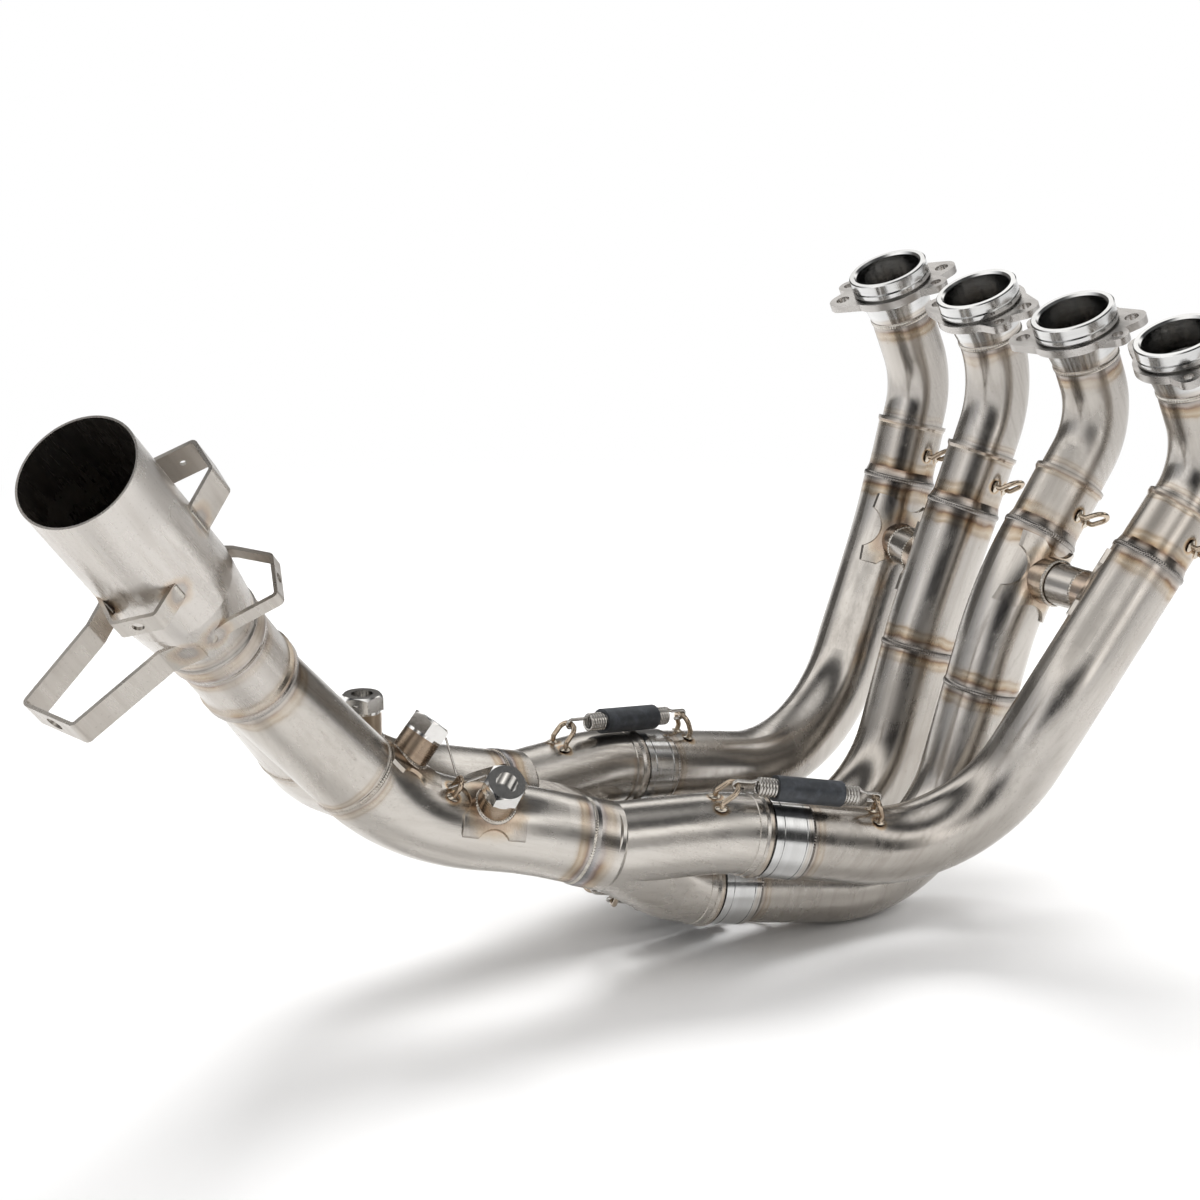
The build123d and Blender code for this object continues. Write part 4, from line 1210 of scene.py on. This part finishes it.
@dataclass(frozen=True)
class Balance:
    """A balance tube between two pipes' centre lines, in millimetres."""

    outer: Triple
    inner: Triple
    saddle: float = 1.6
    collar: float = 7.0
    outer_collar: float = 11.6
    inner_collar: float = 13.0
    weld: Pair = (3.2, 1.2)
    halo: Halo = Halo(26.0, 0.55)

    def at_ends(self, height: float) -> Tuple[Vector, Vector, Vector]:
        """Gives the tube's places above both pipes' centre lines.

        Args:
            height: millimetres above each centre line.

        Returns:
            The tube's unit, the outer place and the inner place in metres.
        """
        outer, inner = Vector(self.outer), Vector(self.inner)
        axis = (inner - outer).normalized()
        return axis, (outer + axis * height) * MM, (inner - axis * height) * MM

    def tints(self) -> List[Tint]:
        """Gives the heat colours on the saddles.

        Returns:
            One tint for each saddle.
        """
        return [Tint(place, None, self.halo) for place in self.at_ends(HeaderLayout().header_radius)[1:]]

    def welds(self) -> List[WeldBead]:
        """Gives the welds on the saddles' collars.

        Returns:
            The two welds.
        """
        axis, outer, inner = self.at_ends(HeaderLayout().header_radius + self.saddle + self.collar)
        return [WeldBead(Ring(outer, axis, self.outer_collar * MM), *self.weld),
                WeldBead(Ring(inner, axis, self.inner_collar * MM), *self.weld)]


BALANCES: Tuple[Balance, ...] = (
    Balance((310.7, 127.5, 176.3), (291.5, 44.0, 176.3)),
    Balance((283.8, -127.2, 195.3), (278.9, -43.9, 195.3)),
)


@dataclass(frozen=True)
class Dresser:
    """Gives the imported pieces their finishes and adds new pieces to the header."""

    nodes: Dict[str, bpy.types.Object]
    effects: Effects

    def dress(self, node: str, finish: MetalFinish, tints: Sequence[Tint] = (),
              axis: Optional[Vector] = None) -> None:
        """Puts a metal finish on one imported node, with heat round the hooks it carries.

        Args:
            node: the node's name.
            finish: the finish.
            tints: heated places on it.
            axis: the direction that the grain is laid by.
        """
        feet = [Tint(foot, None, seat.halo) for seat in SEATS if seat.carrier == node for foot in seat.feet()]
        self.assign(node, finish.material(self.effects, node, [*tints, *feet], axis))

    def assign(self, node: str, material: Material) -> None:
        """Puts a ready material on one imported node.

        Args:
            node: the node's name.
            material: the material.
        """
        piece = self.nodes[node]
        if not piece.material_slots:
            piece.data.materials.append(material)
        for slot in piece.material_slots:
            slot.material = material
        LOG.info("dressed %s with %s", node, material.name)

    def add(self, name: str, mesh: Mesh, material: Material, slot: str, body: str = HEADER_BODY) -> bpy.types.Object:
        """Adds a new piece that rides on a body.

        Args:
            name: the piece's name.
            mesh: its mesh, which is freed.
            material: its material.
            slot: not used.
            body: the body that it rides on.

        Returns:
            The new object.
        """
        data = bpy.data.meshes.new(name)
        mesh.to_mesh(data)
        mesh.free()
        for polygon in data.polygons:
            polygon.use_smooth = True
        data.materials.append(material)
        piece = bpy.data.objects.new(name, data)
        bpy.context.scene.collection.objects.link(piece)
        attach(piece, body)
        LOG.info("added %s with %d faces", name, len(data.polygons))
        return piece

    def cast(self, name: str, shapes: Sequence[object], material: Material, slot: str = "tube_titanium") -> None:
        """Builds several shapes into one new piece whose faces look outward.

        Args:
            name: the piece's name.
            shapes: what is built into its mesh.
            material: its material.
            slot: handed on to add.
        """
        mesh = bmesh.new()
        for shape in shapes:
            shape.build(mesh)
        bmesh.ops.recalc_face_normals(mesh, faces=mesh.faces)
        self.add(name, mesh, material, slot)

    def beads(self, name: str, finish: MetalFinish, rings: Sequence[Ring]) -> None:
        """Adds a weld bead round each ring, as one piece.

        Args:
            name: the piece's name.
            finish: the beads' finish.
            rings: the welds' places.
        """
        self.cast(name, [WeldBead(ring) for ring in rings], finish.material(self.effects, name))


@dataclass(frozen=True)
class SubAssembly:
    """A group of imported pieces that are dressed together."""

    layout: HeaderLayout
    dresser: Dresser


@dataclass(frozen=True)
class PortEnds(SubAssembly):
    """Turned spigots, loose flanges and bent inlet tubes below the ports."""

    spigot: Halo = Halo(7.0, 0.5)
    inlet: Halo = Halo(16.0, 0.85, 0.2)
    lip: Halo = Halo(8.0, 0.4)

    def build(self) -> None:
        """Dresses the port ends and adds their beads."""
        for route in ROUTES:
            weld, lip = self.layout.pipe(route).spigot, self.layout.pipe(route).lip
            self.dresser.dress(f"port_spigot_{route.number}", TURNED, [weld.tint(self.spigot)], weld.axis)
            self.dresser.dress(f"port_flange_{route.number}", PLATE, (), ACROSS)
            self.dresser.dress(f"inlet_bend_{route.number}", TUBE, [weld.tint(self.inlet), lip.tint(self.lip)],
                               weld.axis)
        self.dresser.beads("port_beads", BEAD, [self.layout.pipe(route).spigot for route in ROUTES])


@dataclass(frozen=True)
class DownPipes(SubAssembly):
    """Upper slip sockets, header tubes and their turned slip rings."""

    socket: Halo = Halo(19.0, 0.95, 0.1)
    lip: Halo = Halo(9.0, 0.6)
    third: Halo = Halo(15.0, 0.9, 0.1)
    last: Halo = Halo(11.0, 0.45)
    slip_ring: Halo = Halo(5.0, 0.4)

    def build(self) -> None:
        """Dresses the down pipes and adds their beads."""
        welds = []
        for route in ROUTES:
            tube, rings = f"header_tube_{route.number}", self.layout.pipe(route)
            upper, lower = rings.socket.tint(self.socket), rings.last.tint(self.last)
            self.dresser.dress(f"upper_socket_{route.number}", SOCKET, [upper, rings.lip.tint(self.lip)],
                               rings.lip.axis)
            self.dresser.dress(f"slip_ring_{route.number}", TURNED, [rings.last.tint(self.slip_ring)], rings.last.axis)
            welds.extend((rings.socket, rings.last))
            if route.upper:
                self.dresser.dress(tube, TUBE, [upper, lower], rings.socket.axis)
                continue
            middle = rings.third.tint(self.third)
            self.dresser.dress(f"{tube}_upper", TUBE, [upper, middle], rings.socket.axis)
            self.dresser.dress(f"{tube}_lower", TUBE, [middle, lower], rings.third.axis)
            welds.append(rings.third)
        # The pipe beads take the darkened bead colour, which is painted shade.
        self.dresser.beads("pipe_beads", PAINTED_SHADE_BEAD, welds)


@dataclass(frozen=True)
class Collectors(SubAssembly):
    """Bank collectors, second tubes, merge collector, neck and outlet."""

    bank_end: Halo = Halo(17.0, 0.85, 0.45)
    joint: Halo = Halo(5.0, 0.5)
    second_start: Halo = Halo(14.0, 0.8, 0.35)
    second_end: Halo = Halo(11.0, 0.5)
    merge: Halo = Halo(9.0, 0.5)
    neck: Halo = Halo(15.0, 0.8, 0.1)
    collar: Halo = Halo(13.0, 0.7, 0.3)
    cone: Halo = Halo(11.0, 0.6)

    def build(self) -> None:
        """Dresses the collectors and the outlet and adds their beads."""
        welds, merges = [], []
        for second in SECOND_ROUTES:
            ring, merge = self.layout.second(second)
            joints = [self.layout.pipe(route).joint.tint(self.joint) for route in ROUTES if route.bank is second.bank]
            bosses = [boss.tint() for boss in BOSSES if boss.bank is second.bank]
            side = second.bank.value
            self.dresser.dress(f"bank_collector_{side}", COLLECTOR, [ring.tint(self.bank_end), *joints], ring.axis)
            self.dresser.dress(f"second_tube_{side}", COLLECTOR,
                               [ring.tint(self.second_start), merge.tint(self.second_end), *bosses], ring.axis)
            merges.append(merge.tint(self.merge))
            welds.extend((ring, merge))
            if second.bank is Bank.LEFT:
                finish = COLLECTOR.material(self.dresser.effects, "liner", [ring.tint(self.second_start)], ring.axis)
                self.dresser.cast("second_tube_left_liner", [TubeLiner(second)], finish)
        neck = self.layout.outlet_ring(self.layout.neck_start, self.layout.neck_radius)
        collar = self.layout.outlet_ring(self.layout.collar_end, self.layout.neck_radius)
        cone = self.layout.outlet_ring(self.layout.cone_end, self.layout.outlet_radius)
        straps = [tint for feet in STRAP_FEET for tint in feet.tints()]
        self.dresser.dress("merge_collector", COLLECTOR, [*merges, neck.tint(self.neck)], neck.axis)
        self.dresser.dress("collector_neck", OUTLET, [neck.tint(self.neck), collar.tint(self.collar), *straps],
                           neck.axis)
        self.dresser.dress("outlet_pipe", OUTLET, [collar.tint(self.collar), cone.tint(self.cone), *straps], cone.axis)
        self.dresser.beads("collector_beads", BEAD, [*welds, collar])


@dataclass(frozen=True)
class Fittings(SubAssembly):
    """Balance tubes, saddles, bosses, plugs, straps, springs, hooks and wires."""

    straps: Tuple[str, ...] = ("top", "side", "hanger", "low")
    sensors: Tuple[str, ...] = ("left", "merge", "right")

    def build(self) -> None:
        """Dresses the small fittings and adds their springs and welds."""
        dresser, effects = self.dresser, self.dresser.effects
        for bank in Bank:
            dresser.dress(f"balance_tube_{bank.value}", BOSS, (), ACROSS)
            dresser.dress(f"balance_sleeve_{bank.value}", TUBE, (), ACROSS)
        dresser.dress("balance_saddles", SOCKET, [tint for balance in BALANCES for tint in balance.tints()])
        dresser.dress("sensor_pads", SOCKET, [boss.tint() for boss in BOSSES])
        heated = [tint for feet in STRAP_FEET for tint in feet.tints()]
        for strap in self.straps:
            dresser.dress(f"outlet_strap_{strap}", STRAP, heated, self.layout.outlet_axis())
        for sensor, boss in zip(self.sensors, BOSSES):
            dresser.dress(f"sensor_boss_{sensor}", BOSS, (), Vector(boss.out))
            dresser.dress(f"sensor_plug_{sensor}", PLUG)
        rubber, wire = RubberFinish().material(), WIRE.material(effects, "coils")
        for spring in SPRINGS:
            dresser.dress(f"spring_{spring.name}", WIRE)
            dresser.assign(f"spring_sleeve_{spring.name}", rubber)
            mesh = bmesh.new()
            spring.build(mesh)
            coil = dresser.add(f"coil_{spring.name}", mesh, wire, "spring_steel")
            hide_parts(f"spring_{spring.name}")
        for node, finish in (("welded_hooks", HOOK), ("wire_eyes", HOOK), ("lock_wires", WIRE)):
            dresser.dress(node, finish)
        puddles = [Puddle(foot, Vector(seat.out), Vector(seat.along)) for seat in SEATS for foot in seat.feet()]
        dresser.cast("hook_welds", puddles, PUDDLE.material(effects, "hooks"), "hook_wire")
        shapes = [boss.seam() for boss in BOSSES]
        shapes += [seam for feet in STRAP_FEET for seam in feet.seams()]
        shapes += [bead for balance in BALANCES for bead in balance.welds()]
        dresser.cast("fitting_welds", shapes, BEAD.material(effects, "fittings"))


@dataclass(frozen=True)
class Softbox:
    """A square soft light that isn't mirrored in the metal, in metres and watts."""

    name: str
    place: Triple
    target: Triple
    size: float
    power: float

    def build(self) -> None:
        """Adds the light."""
        data = bpy.data.lights.new(self.name, "AREA")
        data.size = self.size
        data.energy = self.power
        lamp = bpy.data.objects.new(self.name, data)
        lamp.visible_glossy = False
        lamp.location = self.place
        lamp.rotation_euler = (Vector(self.target) - Vector(self.place)).to_track_quat("-Z", "Y").to_euler()
        bpy.context.scene.collection.objects.link(lamp)


SOFTBOXES: Tuple[Softbox, ...] = (
    Softbox("key_softbox", (0.8, 0.9, 1.9), (0.0, 0.0, 0.1), 1.0, 34.0),
    Softbox("side_softbox", (1.5, -1.0, 1.4), (0.1, 0.0, 0.15), 0.9, 12.0),
    Softbox("left_softbox", (-1.5, 0.2, 1.5), (-0.1, 0.0, 0.15), 1.0, 9.0),
)


@dataclass(frozen=True)
class Studio:
    """Pale floor, soft lights and the camera of the photograph."""

    camera_place: Triple = (-0.83998, -1.35554, 0.66093)
    camera_pitch: float = 15.8
    camera_heading: float = 32.2
    lens: float = 90.0
    sensor: float = 36.0
    sight: float = 100.0
    floor_size: float = 60.0
    floor_colour: Colour = (0.93, 0.93, 0.93)
    floor_near: float = 0.62
    floor_far: float = 1.25
    back_colour: Colour = (0.13, 0.125, 0.12)
    light_colour: Colour = (1.0, 0.99, 0.98)
    light_strength: float = 0.55

    def build(self) -> None:
        """Builds the camera, the floor, the lamps and the world."""
        self.camera()
        self.floor()
        for softbox in SOFTBOXES:
            softbox.build()
        self.world()

    def camera(self) -> None:
        """Places the camera at the photograph's viewpoint."""
        data = bpy.data.cameras.new("photo_camera")
        data.lens = self.lens
        data.sensor_width = self.sensor
        data.clip_end = self.sight
        camera = bpy.data.objects.new("photo_camera", data)
        camera.location = self.camera_place
        camera.rotation_euler = (math.radians(90.0 - self.camera_pitch), 0.0, math.radians(-self.camera_heading))
        bpy.context.scene.collection.objects.link(camera)
        bpy.context.scene.camera = camera

    def floor(self) -> None:
        """Lays the plain pale floor, which fades to white away from the header."""
        mesh = bmesh.new()
        bmesh.ops.create_grid(mesh, x_segments=1, y_segments=1, size=self.floor_size / 2)
        data = bpy.data.meshes.new("studio_floor")
        mesh.to_mesh(data)
        mesh.free()
        floor = bpy.data.objects.new("studio_floor", data)
        bpy.context.scene.collection.objects.link(floor)
        material, tree, where = new_material("studio_floor")
        surface = tree.add("ShaderNodeBsdfDiffuse", {"Color": (*self.floor_colour, 1.0)})
        glow = tree.add("ShaderNodeEmission", {"Color": WHITE, "Strength": 1.0})
        away = tree.spread(tree.vector("LENGTH", where), self.floor_near, self.floor_far)
        both = tree.add("ShaderNodeMixShader", {0: away, 1: surface.outputs[0], 2: glow.outputs[0]})
        tree.add("ShaderNodeOutputMaterial", {"Surface": both.outputs[0]})
        data.materials.append(material)

    def world(self) -> None:
        """Lights the scene evenly, with a white background and a softly shaded studio in the reflections."""
        world = bpy.data.worlds.new("studio_world")
        bpy.context.scene.world = world
        world.use_nodes = True
        tree = NodeTree(world.node_tree)
        tree.tree.nodes.clear()
        way = tree.add("ShaderNodeTexCoord").outputs["Generated"]
        right, ahead, height = (tree.vector("DOT_PRODUCT", way, unit) for unit in (CAMERA_RIGHT, CAMERA_AHEAD, UP))
        front = tree.ramp(tree.math("MULTIPLY", tree.math("ADD", right, 1.0), 0.5), FRONT_STOPS)
        behind = tree.mix(tree.spread(ahead, -0.1, 0.45), front, (*self.back_colour, 1.0))
        studio = tree.mix(tree.spread(height, 0.30, 0.60), behind, tree.ramp(height, HEIGHT_STOPS))
        paths = tree.add("ShaderNodeLightPath").outputs
        white = tree.mix(paths["Is Camera Ray"], studio, WHITE)
        seen = tree.math("MAXIMUM", paths["Is Camera Ray"], paths["Is Glossy Ray"])
        seen = tree.math("MAXIMUM", seen, paths["Is Transmission Ray"])
        shown = tree.add("ShaderNodeBackground", {"Color": white, "Strength": 1.0})
        light = tree.add("ShaderNodeBackground", {"Color": (*self.light_colour, 1.0), "Strength": self.light_strength})
        both = tree.add("ShaderNodeMixShader", {0: seen, 1: light.outputs[0], 2: shown.outputs[0]})
        tree.add("ShaderNodeOutputWorld", {"Surface": both.outputs[0]})


def main() -> None:
    """Dresses the header's sub-assemblies in order and sets the studio."""
    logging.basicConfig(level=logging.INFO)
    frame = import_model()
    bpy.context.scene.view_settings.view_transform = "Standard"
    layout, dresser = HeaderLayout(), Dresser(frame["nodes"], Effects())
    for assembly in (PortEnds, DownPipes, Collectors, Fittings):
        assembly(layout, dresser).build()
    Studio().build()


if __name__ == "__main__":
    main()
